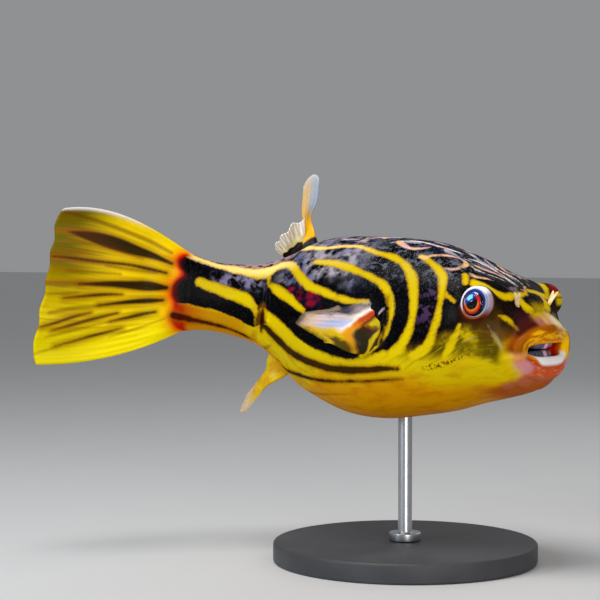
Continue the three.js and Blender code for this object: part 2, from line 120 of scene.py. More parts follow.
# %% Node trees as arithmetic
class Wire:
    """One output of a node. Arithmetic on it adds Math nodes."""

    def __init__(self, finish, socket):
        self.finish = finish
        self.socket = socket

    def maths(self, operation, first, second):
        return self.finish.node("Math", {"operation": operation}, {0: first, 1: second})

    def __add__(self, other):
        return self.maths("ADD", self, other)

    def __sub__(self, other):
        return self.maths("SUBTRACT", self, other)

    def __rsub__(self, other):
        return self.maths("SUBTRACT", other, self)

    def __mul__(self, other):
        return self.maths("MULTIPLY", self, other)

    def highest(self, other):
        return self.maths("MAXIMUM", self, other)

    __radd__ = __add__
    __rmul__ = __mul__


class Finish:
    """A material with a Principled shader. `node` adds any other node to it."""

    def __init__(self, name, roughness, specular=0.5, coat=0.0, coat_roughness=0.1):
        self.material = bpy.data.materials.new(name)
        self.material.use_nodes = True
        self.tree = self.material.node_tree
        self.shader = self.tree.nodes["Principled BSDF"]
        self.set("Roughness", roughness)
        self.set("Specular IOR Level", specular)
        self.set("Coat Weight", coat)
        self.set("Coat IOR", 1.35)
        self.set("Coat Roughness", coat_roughness)
        self.point = self.node("TexCoord", output="Object")

    def join(self, value, socket):
        if isinstance(value, Wire):
            self.tree.links.new(value.socket, socket)
        else:
            socket.default_value = value

    def set(self, name, value):
        self.join(value, self.shader.inputs[name])

    def node(self, kind, settings={}, sockets={}, output=0):
        made = self.tree.nodes.new("ShaderNode" + kind)
        for name, value in settings.items():
            setattr(made, name, value)
        for name, value in sockets.items():
            self.join(value, made.inputs[name])
        return Wire(self, made.outputs[output])

    def read(self, *names):
        """The numbers of these names that the mesh holds at each vertex."""
        wires = [self.node("Attribute", {"attribute_name": name}, output="Fac") for name in names]
        return wires if len(wires) > 1 else wires[0]

    def noise(self, size, detail=2.0, point=None):
        """Cloudy noise from 0 to 1, about 0.5, with patches about `size` metres across."""
        sockets = {"Vector": point or self.point, "Scale": 1 / size, "Detail": detail}
        return self.node("TexNoise", {}, sockets)

    def grain(self, x, y, z, detail):
        """Noise that runs with the skin, because its point is made of the skin's own numbers."""
        return self.noise(1, detail, self.node("CombineXYZ", {}, {0: x, 1: y, 2: z}))

    def ease(self, value, start, end):
        """0 up to `start` and 1 from `end` on, with a smooth step between them."""
        settings = {"interpolation_type": "SMOOTHSTEP"}
        return self.node("MapRange", settings, {0: value, 1: start, 2: end})

    def fade(self, value, start, end):
        """1 up to `start` and 0 from `end` on."""
        return 1 - self.ease(value, start, end)

    def patch(self, value, start, end, soft):
        """1 between `start` and `end`, with soft edges that wide."""
        return self.ease(value, start - soft, start + soft) * self.fade(value, end - soft, end + soft)

    def blend(self, amount, below, above):
        """Covers one colour with another by an amount from 0 to 1. Either may be a paint."""
        sockets = {0: amount, 6: light_of(below), 7: light_of(above)}
        return self.node("Mix", {"data_type": "RGBA"}, sockets, output=2)

    def coats(self, colour, *coats):
        """Covers a colour with one coat after another. A coat is an amount and a colour."""
        for amount, above in coats:
            colour = self.blend(amount, colour, above)
        return colour

    def bump(self, height, distance, strength=1.0, under=None):
        sockets = {"Height": height, "Distance": distance, "Strength": strength}
        if under:
            sockets["Normal"] = under
        return self.node("Bump", {}, sockets)


def light_of(colour):
    """A paint, given as on a screen by three levels up to 255, as the light that shaders mix."""
    if isinstance(colour, Wire):
        return colour
    light = []
    for level in colour:
        level /= 255
        light.append(level / 12.92 if level < 0.04045 else ((level + 0.055) / 1.055)**2.4)
    return (*light, 1.0)


print("helpers ready; mid grey is", round(light_of((128, 128, 128))[0], 3))


# %% [markdown]
# ## From a bmesh to a piece
#
# Every piece ends the same way: its bmesh becomes an object at the origin, gets one
# material, rides on the still body, and takes the place of the plain solids that it
# covers. The floor is the one object that takes no solid's place.

# %% Pieces and the floor
def make_piece(name, bm):
    mesh = bpy.data.meshes.new(name)
    bm.to_mesh(mesh)
    bm.free()
    piece = bpy.data.objects.new(name, mesh)
    bpy.context.collection.objects.link(piece)
    return piece


def finish_shell(name, bm):
    """A smooth piece from a closed shell, with its faces turned outwards."""
    bmesh.ops.recalc_face_normals(bm, faces=bm.faces)
    piece = make_piece(name, bm)
    piece.data.shade_smooth()
    return piece


def dress(piece, material, slot, *nodes):
    """Gives a piece its material, and says which solids it takes the place of."""
    piece.data.materials.append(material)
    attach(piece, "root")
    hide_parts(*nodes)
    print(piece.name + ":", len(piece.data.polygons), "faces, for", *nodes)


def make_floor(half_width):
    bm = bmesh.new()
    bmesh.ops.create_grid(bm, x_segments=1, y_segments=1, size=half_width)
    finish = Finish("pale floor", roughness=0.6)
    finish.set("Base Color", finish.blend(finish.noise(0.05), (206, 207, 208), (211, 211, 211)))
    floor = make_piece("floor", bm)
    floor.data.materials.append(finish.material)
    return floor


floor = make_floor(half_width=6)
print("floor:", [round(side, 1) for side in floor.dimensions], "m")

# %% [markdown]
# ## The body's form
#
# The solids were lofted: rings set along a bent spine, each ring a squarish ellipse. The
# same few outlines are used here with many more rings, so the skin lies just where the
# solids are. Places are measured back along the spine from the lips.

# %% The outlines
PITCH = 7               # degrees that the spine rises towards the tail
SPINE_HEIGHT = 118      # millimetres above the floor, over the rod
ROD_PLACE = 84
LIP_FRONT = 3           # the first place in the outlines
STEM_END = 203.15

# Where the body heads, how far it reaches up, down and sideways from the spine, how far
# its widest level sags below the spine, and how round it is: each by the place.
HEADING = [
    (-10, -17), (0, -17), (24, -14), (58, -6), (98, 0), (134, 5),
    (150, 16), (166, 33), (182, 42), (223, 46), (280, 45),
]
BACK = [
    (3, 12.5), (7, 16), (13, 21.5), (24, 29), (36, 33.5), (50, 38.5), (66, 42.5), (86, 43),
    (106, 41.5), (124, 39), (138, 34.5), (150, 27.5), (162, 21), (176, 18.5), (192, 18.5), (207, 22.5),
]
BELLY = [
    (3, 14.5), (7, 19.5), (13, 22.5), (24, 27), (36, 31.5), (50, 37.5), (66, 42.5), (86, 47.5),
    (106, 48), (124, 43.5), (138, 38), (150, 29), (162, 21.5), (176, 18), (192, 17), (207, 19.5),
]
SIDE = [
    (3, 21.5), (7, 24), (13, 26.5), (24, 31), (36, 33), (50, 35.5), (66, 38.5), (86, 41),
    (106, 39.5), (124, 34.5), (138, 27), (150, 19.5), (162, 13.5), (176, 10), (192, 7.5), (207, 4.2),
]
SAG = [(3, 0), (13, 2), (36, 5), (66, 9), (92, 10.5), (106, 10), (124, 7), (150, 2), (176, 0), (207, 0)]
ROUNDNESS = [
    (3, 1), (8, 1), (14, 0.82), (24, 0.64), (36, 0.72), (50, 0.82), (66, 0.89), (95, 0.93), (124, 1),
    (207, 1),
]
LIP = {
    "depth": 3.2, "roll": 0.8, "half_width": 13, "above": 3.8, "below": 2.6,
    "throat": 14, "hollow": 0.7, "square": 0.62,
}
SET_BACK = {"corner": 4, "ends": 22}
EYE = {"place": 26, "out": 28, "up": 19.8, "radius": 7.9, "tilt": 8}
BROW = {"rise": 3, "angle": 36, "reach": 9, "spread": 22}
print("outlines from", LIP_FRONT, "to", STEM_END, "mm behind the lips")


# %% Curves through a few points
def ease(start, end, x):
    t = np.clip((x - start) / (end - start), 0, 1)
    return t * t * (3 - 2 * t)


def mix(a, b, t):
    return a + (b - a) * t


def along(points, x):
    """A smooth curve through [place, value] points, read at every x."""
    places, values = np.array(points, float).T
    span = np.diff(places)
    slope = np.diff(values) / span
    tangent = np.empty(len(values))
    tangent[0] = slope[0]
    tangent[-1] = slope[-1]
    tangent[1:-1] = (slope[:-1] * span[1:] + slope[1:] * span[:-1]) / (span[:-1] + span[1:])
    i = np.clip(np.searchsorted(places, x) - 1, 0, len(places) - 2)
    t = (x - places[i]) / span[i]
    rest = 1 - t
    near = (1 + 2 * t) * rest**2 * values[i] + t * rest**2 * span[i] * tangent[i]
    far = t**2 * (3 - 2 * t) * values[i + 1] - t**2 * rest * span[i] * tangent[i + 1]
    return near + far


print("deepest at place 90:", round(along(BACK, 90) + along(BELLY, 90), 1), "mm")


# %% The spine
def walk_spine():
    """The spine's x and y at each millimetre of it, over the stand at the rod's place."""
    places = np.arange(HEADING[0][0], HEADING[-1][0] + 1)
    heading = np.radians(along(HEADING, places[:-1] + 0.5))
    level = np.cos(np.radians(PITCH))
    x = np.concatenate([[0], -np.cumsum(np.cos(heading) * level)])
    y = np.concatenate([[0], -np.cumsum(np.sin(heading) * level)])
    rod = ROD_PLACE - HEADING[0][0]
    return places, x - x[rod], y - y[rod]


SPINE = walk_spine()


def spine_at(place):
    """The spine's point at a place, and the directions forward, left and up there."""
    place = np.asarray(place, float)
    heading = np.radians(along(HEADING, place))
    pitch = np.radians(PITCH)
    flat = np.zeros_like(heading)
    level = np.cos(pitch)
    forward = np.stack([np.cos(heading) * level, np.sin(heading) * level, flat - np.sin(pitch)], -1)
    left = np.stack([-np.sin(heading), np.cos(heading), flat], -1)
    x, y = (np.interp(place, SPINE[0], values) for values in SPINE[1:])
    height = SPINE_HEIGHT + (place - ROD_PLACE) * np.sin(pitch)
    return np.stack([x, y, height], -1), forward, left, np.cross(forward, left)


def on_body(place, left_by, up_by, forward_by=0.0):
    """Points at a place on the spine, moved left of it, above it and forward of it."""
    point, forward, left, up = spine_at(place)
    for direction, by in ((left, left_by), (up, up_by), (forward, forward_by)):
        point = point + direction * np.asarray(by)[..., None]
    return point


print("the snout points", spine_at(0)[1].round(2), "and the tail comes from", spine_at(230)[1].round(2))

# %% [markdown]
# ## One skin from the throat to the tail's edge
#
# The head, trunk, tail stem, lips and tail fin are one skin on the real fish, so they are
# one mesh here, with no seam to hide. It starts as a flat grid. One side of the grid runs
# from the throat out over the lips and back to the tail fin's edge, and the other runs
# round the body from the back. Each vertex then goes to its place on the rings, and
# merging the doubles closes the tube. Two numbers travel with each vertex: its place
# along the body, and its girth, which is 0 on the back and 1 under the belly. The markings
# are painted by them.

# %% The rings
HALF = 118          # columns from the back to the belly on one side
EYE_BAND = 46       # the head's rings are closer together up to here
THROAT_RINGS = 12
LIP_RINGS = 20
HEAD_RINGS = 78
TRUNK_RINGS = 150
TAIL_ROWS = 74


def outline(place):
    return along(BACK, place), -along(BELLY, place), along(SIDE, place)


def throat_rings(count):
    depth = np.linspace(1, 0, count + 1)[:-1]
    close = np.sqrt(1 - depth**2)
    tall = close * (1 + LIP["hollow"] * np.sin(np.minimum(depth * 1.3, 1) * np.pi))
    place = mix(LIP["depth"] / 2, LIP["throat"], depth)
    rows = [place, LIP["above"] * tall, -LIP["below"] * tall, LIP["half_width"] * close]
    return np.stack([*rows, 0 * depth - 1, 1 + depth], -1)


def lip_rings(count):
    turn = np.linspace(1, 0, count + 1)[:-1]
    inward = (1 - np.cos(turn * np.pi)) / 2
    top, bottom, side = outline(LIP["depth"])
    place = LIP["depth"] * (mix(1, 0.5, turn) - LIP["roll"] * np.sin(turn * np.pi))
    rows = [place, mix(top, LIP["above"], inward), mix(bottom, -LIP["below"], inward)]
    rows.append(mix(side, LIP["half_width"], inward))
    return np.stack([*rows, np.cos(turn * np.pi), turn], -1)


def body_rings(head_count, trunk_count):
    head = np.linspace(LIP["depth"], EYE_BAND, head_count + 1)[:-1]
    place = np.concatenate([head, np.linspace(EYE_BAND, STEM_END, trunk_count)])
    return np.stack([place, *outline(place), 0 * place + 1, 0 * place], -1)


# Each ring is its place, top, bottom, half width, whether it faces out, and how far in
# the mouth it is: 0 outside, 1 inside the lips and 2 at the end of the throat.
RINGS = np.concatenate([
    throat_rings(THROAT_RINGS), lip_rings(LIP_RINGS), body_rings(HEAD_RINGS, TRUNK_RINGS),
])
print("rings:", len(RINGS))


# %% One ring's section
def section(ring, angle):
    """Left and up of a ring at an angle, which is 90 degrees at the back and 0 at the side."""
    place, top, bottom, side, outward, _ = ring
    across, rise = np.cos(angle), np.sin(angle)
    level = max(place, LIP["depth"])
    sag = -along(SAG, level)
    above = rise > 0
    reach = np.where(above, top - sag, sag - bottom)
    power = np.where(above, along(ROUNDNESS, level), 1)
    power = mix(power, LIP["square"], (1 - outward) / 2)
    swell = 0
    if outward > 0:
        around = (np.abs(np.pi / 2 - angle) - np.radians(90 - BROW["angle"])) / np.radians(BROW["spread"])
        lengthwise = (place - EYE["place"]) / BROW["reach"]
        swell = BROW["rise"] * np.exp(-around**2 - lengthwise**2) / side
    left = (1 + swell) * side * np.abs(across)**power
    up = sag + (1 + swell) * reach * np.sign(rise) * np.abs(rise)**power
    return left, up, across**2


def ring_points(ring, girth):
    """A ring's points on the right side, spaced evenly from the back to the belly."""
    dense = np.radians(np.linspace(90, -90, 721))
    left, up, _ = section(ring, dense)
    run = np.concatenate([[0], np.cumsum(np.hypot(np.diff(left), np.diff(up)))])
    angle = np.interp(girth * run[-1], run, dense)
    left, up, sideways = section(ring, angle)
    back = SET_BACK["corner"] * (1 - ease(LIP["depth"], SET_BACK["ends"], ring[0])) * sideways
    return left, up, back


GIRTH = np.linspace(0, 1, HALF + 1)
STEM_LEFT, STEM_UP, _ = ring_points(RINGS[-1], GIRTH)
print("the tail stem is", round(2 * STEM_LEFT.max(), 1), "mm thick where the fin starts")

# %% [markdown]
# ## The tail fin
#
# A puffer's tail fin is a fan of soft rays. The rays spread at the root, bend back towards
# the middle and split in two twice on their way to the edge. The membrane between them is
# thinner than they are, so the skin is thickened in waves that double in number, which
# catches the light along each ray. The whole fan is also gently pleated.

# %% The fan
TAIL = {
    "length": 71.5, "rays": 11, "lowest": -32.5, "highest": 26.5, "straighten": (0.42, 0.55),
    "slant": 3.5, "hollow": 3, "corner": 2.5, "scallop": 0.5, "thickness": 2, "tip": 0.8, "rim": 0.012,
}
PLEATS = [(1.1, 0.15, 9.5, 0.7), (0.5, 0.4, 23, 0)]     # depth, where it starts, waves and their shift


def ray_ridges(across, reach, rays, splits=(0.25, 0.6)):
    """1 on each ray and 0 on the membrane between, with the rays splitting in two."""
    first = ease(splits[0] - 0.1, splits[0] + 0.15, reach)
    second = ease(splits[1] - 0.1, splits[1] + 0.15, reach)
    waves = [0.5 + 0.5 * np.cos(2 * np.pi * rays * many * across) for many in (1, 2, 4)]
    return mix(mix(waves[0], waves[1], first), waves[2], second)


def round_off(x, width):
    """0 at both ends of 0 to 1 and 1 between, like the edge of a rounded plate."""
    return np.sqrt(1 - (1 - np.clip(np.minimum(x, 1 - x) / width, 0, 1))**2)


def tail_rows(count):
    """Rows of the tail fin from just past its root: place, left and up, on the right side."""
    u = np.linspace(0, 1, count + 1)[1:, None]
    root_v = (STEM_UP - STEM_UP[-1]) / (STEM_UP[0] - STEM_UP[-1])
    v = mix(root_v[None], 1 - GIRTH[None], ease(0, 0.5, u))
    across = 2 * v - 1
    corner = np.clip((np.abs(across) - 0.85) / 0.15, 0, 1)**2
    scallop = np.cos(across * np.pi * TAIL["rays"] / 2) * ease(0.5, 1, u)
    length = TAIL["length"] - TAIL["slant"] * across + TAIL["hollow"] * across**2
    length = length - TAIL["corner"] * corner + TAIL["scallop"] * scallop
    spread = np.radians(mix(TAIL["lowest"], TAIL["highest"], v))
    direction = spread * (1 - mix(*TAIL["straighten"], v) * u**(1 + v))
    height = mix(STEM_UP[-1], STEM_UP[0], v) + length * u * np.sin(direction)
    place = STEM_END + length * u * np.cos(direction)
    rays = ray_ridges(v, u, TAIL["rays"])
    plate = mix(TAIL["thickness"], TAIL["tip"], u) / 2 * (0.8 + 0.25 * rays)
    thick = mix(STEM_LEFT[None], plate * round_off(GIRTH, TAIL["rim"])[None], ease(0, 0.32, u))
    thick[-1] = 0
    pleat = sum(deep * ease(start, 1, u) * np.sin(v * waves + shift) for deep, start, waves, shift in PLEATS)
    return u, place, thick, pleat, height, rays


def there_and_back(one_side, other_side):
    """Columns down one side and back up the other, which share the column they turn at."""
    return np.concatenate([one_side, other_side[:, -2::-1]], 1)


def skin_grid(tail_count):
    """Every vertex of the skin, with its place, girth, side and depth in the mouth."""
    u, place, thick, pleat, height, ray = tail_rows(tail_count)
    halves = []
    for side in (-1, 1):
        rows = []
        for ring in RINGS:
            out, up, back = ring_points(ring, GIRTH)
            rows.append(on_body(ring[0], side * out, up, -back))
        halves.append(np.concatenate([rows, on_body(place, pleat + side * thick, height)]))
    points = there_and_back(*halves)
    points[0] = points[0].mean(0)
    rays = np.ones(points.shape[:2])
    rays[-tail_count:] = there_and_back(ray, ray)
    girth = there_and_back(GIRTH[None], GIRTH[None])
    layers = {
        "ray": rays,
        "place": np.concatenate([RINGS[:, :1], STEM_END + TAIL["length"] * u]) + 0 * rays,
        "girth": girth + 0 * rays,
        "mouth": np.concatenate([RINGS[:, 5:], 0 * u]) + 0 * rays,
        "side": np.sign(np.arange(girth.size) - HALF) + 0 * rays,
    }
    return points, layers


SKIN, SKIN_LAYERS = skin_grid(TAIL_ROWS)
print("skin grid:", SKIN.shape[:2])


# %% Roll a grid into a closed shell
SAME_SPOT = 0.002   # millimetres: vertices closer than this are one


def rolled_grid(points, layers):
    """A bmesh grid whose vertices are taken to `points`, in millimetres, and closed."""
    bm = bmesh.new()
    rows, columns = points.shape[:2]
    bmesh.ops.create_grid(bm, x_segments=rows - 1, y_segments=columns - 1, size=0.5)
    slots = {name: bm.verts.layers.float.new(name) for name in layers}
    for vertex in bm.verts:
        row = round((vertex.co.x + 0.5) * (rows - 1))
        column = round((vertex.co.y + 0.5) * (columns - 1))
        vertex.co = points[row, column] * MM
        for name, slot in slots.items():
            vertex[slot] = layers[name][row, column]
    bmesh.ops.remove_doubles(bm, verts=bm.verts, dist=SAME_SPOT * MM)
    return bm


print("vertices within", SAME_SPOT, "mm of each other become one")

# %% Make the skin
FINE_SKIN = 13.5    # millimetres from an eye's middle: the grid is finer up to here


def eye_axis(side):
    _, _, left, up = spine_at(EYE["place"])
    tilt = np.radians(EYE["tilt"])
    return left * side * np.cos(tilt) + up * np.sin(tilt)


def eye_centre(side):
    return on_body(EYE["place"], side * EYE["out"], EYE["up"])


def make_skin():
    bm = rolled_grid(SKIN, SKIN_LAYERS)
    for side in (-1, 1):
        centre = Vector(eye_centre(side) * MM)
        near = [e for e in bm.edges if (e.verts[0].co - centre).length < FINE_SKIN * MM]
        bmesh.ops.subdivide_edges(bm, edges=near, cuts=2, use_grid_fill=True)
    return finish_shell("skin", bm)


skin = make_skin()
print("skin:", len(skin.data.vertices), "vertices,", len(skin.data.polygons), "faces")

# %% [markdown]
# ## Lids, folds and creases
#
# The grid is smooth where the real skin isn't. Round each eye the skin is blown on to a
# small dome and then drawn in behind the eyeball, which leaves a round lid. Creases are
# drawn as short lines on the skin, and each vertex sinks by how near it is to one. They
# are at the lips, the gill openings and the inside of the tail's bend, where skin folds.

# %% Lines on the skin
OUTER = THROAT_RINGS + LIP_RINGS    # the rings outside the mouth come after these
SKIN_PLACES = SKIN_LAYERS["place"][OUTER:, 0]
ROUND_LENGTH = 110      # millimetres from back to belly, near enough for spacing points
TRACE_STEP = 0.7        # millimetres between the points of a traced line
STRAY = {"girth": 0.012, "place": 2.2}
FAR = 12.0              # millimetres: strokes further off than this don't matter
BATCH = 4000            # points measured at once, which keeps the memory small


def on_skin(place, girth, side):
    """Points on the skin's grid, for places and girths on one side: -1 right, 1 left."""
    rows = np.interp(place, SKIN_PLACES, np.arange(len(SKIN_PLACES))) + OUTER
    columns = girth * HALF if side < 0 else (2 - girth) * HALF
    row = np.minimum(rows.astype(int), len(SKIN) - 2)
    column = np.minimum(columns.astype(int), 2 * HALF - 1)
    down = (rows - row)[:, None]
    right = (columns - column)[:, None]
    before = mix(SKIN[row, column], SKIN[row, column + 1], right)
    after = mix(SKIN[row + 1, column], SKIN[row + 1, column + 1], right)
    return mix(before, after, down)


def trace(stroke, side, stray):
    """Points close together on a stroke's smooth line, and its half width at each."""
    knots = np.array(stroke, float)
    steps = np.hypot(np.diff(knots[:, 0]), np.diff(knots[:, 1]) * ROUND_LENGTH)
    run = np.concatenate([[0], np.cumsum(steps)])
    t = np.linspace(0, run[-1], max(int(run[-1] / TRACE_STEP), 3))
    place, girth, half = (along(np.stack([run, knots[:, k]], 1), t) for k in range(3))
    if side > 0:
        girth = girth + stray * STRAY["girth"] * np.sin(place / 9 + 1)
        place = place + stray * STRAY["place"] * np.sin(girth * 9 + 2)
    return on_skin(place, np.clip(girth, 0, 1), side), half


def distance(points, sides, strokes, only=0, stray=1):
    """How far each point is outside the nearest stroke, in millimetres."""
    best = np.full(len(points), FAR)
    for side in (-1, 1):
        if only and only != side:
            continue
        mine = np.nonzero(sides * side > -0.5)[0]
        for stroke in strokes:
            line, half = trace(stroke, side, stray)
            low, high = line.min(0) - FAR, line.max(0) + FAR
            near = mine[((points[mine] > low) & (points[mine] < high)).all(1)]
            for some in np.array_split(near, len(near) // BATCH + 1):
                gap = np.linalg.norm(points[some, None] - line[None], axis=2) - half
                best[some] = np.minimum(best[some], gap.min(1))
    return best


crown_line = trace([(20, 0, 1), (140, 0, 1)], -1, 0)[0]
print("a line along the back from place 20 to 140 has", len(crown_line), "points")

# %% The creases
# How deep a crease is and how wide, its side (0 is both, -1 the right), and its strokes.
CREASES = {
    "gills": (1.8, 1.0, 0, [[(77.5, 0.36, 0.2), (75.5, 0.42, 0.4), (75.5, 0.48, 0.4), (77.5, 0.53, 0.2)]]),
    "upper lip": (0.7, 1.3, 0, [[(8.5, 0, 0.3), (9, 0.12, 0.3), (8.5, 0.26, 0.3), (6.5, 0.4, 0.2)]]),
    "lower lip": (0.6, 1.4, 0, [[(9.5, 1, 0.3), (9.5, 0.85, 0.3), (8, 0.7, 0.3), (6, 0.58, 0.2)]]),
    "mouth corner": (0.9, 1.6, 0, [[(3.5, 0.5, 0.3), (7, 0.51, 0.3), (12, 0.53, 0.1), (17, 0.57, 0)]]),
    "tail bend": (1.0, 1.3, -1, [
        [(160, 0.27, 0), (159, 0.38, 0.3), (158, 0.5, 0.2), (158, 0.6, 0)],
        [(163.5, 0.24, 0), (163.5, 0.4, 0.4), (164, 0.6, 0.4), (163.5, 0.76, 0)],
        [(168, 0.25, 0), (167.5, 0.4, 0.3), (166.5, 0.56, 0)],
        [(165, 0.8, 0), (165, 0.88, 0.2), (164, 0.96, 0)],
    ]),
    "dorsal root": (0.8, 2.0, 0, [[(133, 0, 0), (140, 0.02, 0.2), (147, 0.03, 0.2), (155, 0, 0)]]),
}


def vectors(mesh, name):
    """The vertices' places, called co, or their normals."""
    flat = np.empty(len(mesh.vertices) * 3)
    mesh.vertices.foreach_get(name, flat)
    return flat.reshape(-1, 3)


def numbers(mesh, name):
    values = np.empty(len(mesh.vertices))
    mesh.attributes[name].data.foreach_get("value", values)
    return values


print("creases:", list(CREASES))


# %% Open the lids and press in the creases
LID = {
    "radius": 8.25, "rim": 0.12, "opens": 64, "closes": 54, "behind": 5.4, "soft": 1.6,
    "ends": (130, 165),             # degrees: the dome runs out behind the eye here
    "felt": 25, "painted": 20,      # how far from the eye's middle the skin is moved, and marked
}


def angle_from_eye(points, side):
    """Distance from an eye's middle, and the angle from the way the eye looks, in degrees."""
    offset = points - eye_centre(side)
    reach = np.linalg.norm(offset, axis=1)
    facing = np.degrees(np.arccos(np.clip(offset @ eye_axis(side) / reach, -1, 1)))
    return offset, reach, facing


def open_lids(points):
    for side in (-1, 1):
        offset, reach, facing = angle_from_eye(points, side)
        dome = LID["radius"] + LID["rim"] * np.exp(-((facing - LID["opens"] - 2) / 5)**2)
        raised = (reach + dome + np.sqrt((reach - dome)**2 + LID["soft"]**2)) / 2
        raised = mix(raised, reach, ease(*LID["ends"], facing))
        raised = mix(LID["behind"], raised, ease(LID["closes"], LID["opens"], facing))
        near = reach < LID["felt"]
        points[near] += (offset * (raised / reach - 1)[:, None])[near]
    return points


def shape_skin(mesh):
    points = vectors(mesh, "co") / MM
    facing_out = vectors(mesh, "normal")
    sides = numbers(mesh, "side")
    outside = numbers(mesh, "mouth") < 0.05
    for depth, width, only, strokes in CREASES.values():
        away = np.maximum(distance(points, sides, strokes, only, 0), 0)
        sink = depth * np.exp(-(away / width)**2) * outside
        points -= facing_out * sink[:, None]
    mesh.vertices.foreach_set("co", (open_lids(points) * MM).ravel())
    mesh.update()


shape_skin(skin.data)
lid_opening = LID["radius"] * math.sin(math.radians(LID["opens"]))
print("lids open to", round(lid_opening, 1), "mm from the eye's axis")

# %% [markdown]
# ## The markings
#
# The fish is yellow. Its back and flanks are covered in black, and the yellow comes through
# as winding bands, while dark lines run on over the yellow belly and the tail fin. Each
# band or line is a stroke of a brush: a few points (place, girth, half the width in
# millimetres) and a smooth line through them. Every vertex of the skin holds how far it is
# from the nearest stroke, so the shader can ragged the edges with noise. The left side
# repeats the right one with a little stray, because the two sides of a fish never match.

# %% The yellow bands
BANDS = [
    # from the dorsal fin along the upper flank and down in front of the gills
    [(144.5, 0, 3), (143, 0.05, 2.8), (139.5, 0.09, 2.3), (133, 0.125, 1.8), (125, 0.145, 1.5),
     (115, 0.14, 1.5), (106, 0.14, 1.6), (100, 0.158, 1.7), (92, 0.18, 1.8), (83, 0.195, 2.1),
     (76, 0.22, 2.3), (70, 0.255, 2.5), (65.5, 0.31, 2.7), (62.5, 0.37, 2.3), (61.5, 0.43, 2.1),
     (62.5, 0.49, 2.3), (66, 0.545, 2.6), (72, 0.585, 2.8)],
    # over the pectoral fin and down behind the gills
    [(128, 0.228, 1.6), (120, 0.235, 2.2), (113, 0.24, 2.3), (105, 0.255, 2.2), (97, 0.275, 1.9),
     (88, 0.295, 1.8), (82, 0.315, 2.1), (77.5, 0.35, 2.3), (74.5, 0.4, 2), (74, 0.45, 2),
     (75.5, 0.495, 1.8), (80, 0.54, 1.6), (86, 0.575, 1.6)],
    # from the top of the tail stem down the flank to the pectoral fin
    [(213, 0.05, 2), (205, 0.058, 1.6), (198, 0.065, 1.6), (190, 0.085, 1.9), (180, 0.125, 2.4),
     (170, 0.175, 3), (163, 0.175, 3.4), (156, 0.15, 2.8), (150, 0.17, 2.4), (145, 0.215, 2.5),
     (139, 0.275, 2.5), (132, 0.32, 2.5), (124, 0.35, 2.4), (116, 0.36, 2.2), (108, 0.375, 1.9),
     (98, 0.385, 1.6), (88, 0.385, 1)],
    # a short band behind the fin's tip, and the thread that joins it to the last one
    [(160.5, 0.22, 0.7), (160, 0.3, 1.2), (155, 0.355, 2.6), (149, 0.385, 3), (141, 0.415, 2.4),
     (133, 0.44, 2), (126, 0.455, 1.3)],
    # along the middle of the tail stem and round its bend
    [(198, 0.35, 2.4), (190, 0.39, 3), (183, 0.43, 2.9), (176, 0.455, 3.3), (171, 0.495, 2.9),
     (167.5, 0.55, 1.7), (166, 0.62, 0.8), (165.5, 0.7, 0.6), (164, 0.79, 1)],
    # the broad band below the pectoral fin
    [(162.5, 0.55, 1.8), (157, 0.595, 3.2), (149, 0.605, 3.8), (140, 0.6, 3.7), (130, 0.605, 3.6),
     (122, 0.606, 2.9), (112, 0.604, 2.3), (103, 0.602, 1.8), (92, 0.602, 1.6), (82, 0.59, 2),
     (74, 0.575, 3)],
    # behind the eye, with a thread to it
    [(69, 0.17, 1.3), (62, 0.19, 1.7), (56, 0.215, 2.4), (51.5, 0.25, 2.5), (49.5, 0.295, 2),
     (48, 0.35, 1.5), (47.5, 0.41, 1.8), (48.5, 0.47, 2.2), (51, 0.53, 2.4), (57, 0.575, 2.4)],
    [(49, 0.3, 1.3), (45, 0.318, 1), (40, 0.337, 0.8)],
    # the brow, and marks round the nostril, on the cheek and on the snout
    [(38.6, 0.238, 1.3), (40, 0.215, 1.7), (42, 0.193, 1.5)],
    [(17.5, 0.02, 1.3), (17.5, 0.08, 1.7), (17.8, 0.15, 2), (19, 0.196, 2.2), (24, 0.23, 2.3),
     (29, 0.232, 3), (33, 0.224, 2.6), (36, 0.208, 1.3)],
    [(10, 0.07, 1), (11.5, 0.11, 2.7), (14, 0.12, 2.2), (15.5, 0.1, 1)],
    [(33.5, 0.44, 1.1), (35.5, 0.49, 1.7), (38, 0.54, 1.7), (40, 0.58, 1.4)],
    [(15.5, 0.315, 0.6), (14, 0.302, 1), (11.5, 0.288, 1.3), (9, 0.284, 1.2), (6.5, 0.295, 0.9),
     (5.2, 0.306, 0.5)],
]

print("yellow bands:", len(BANDS))

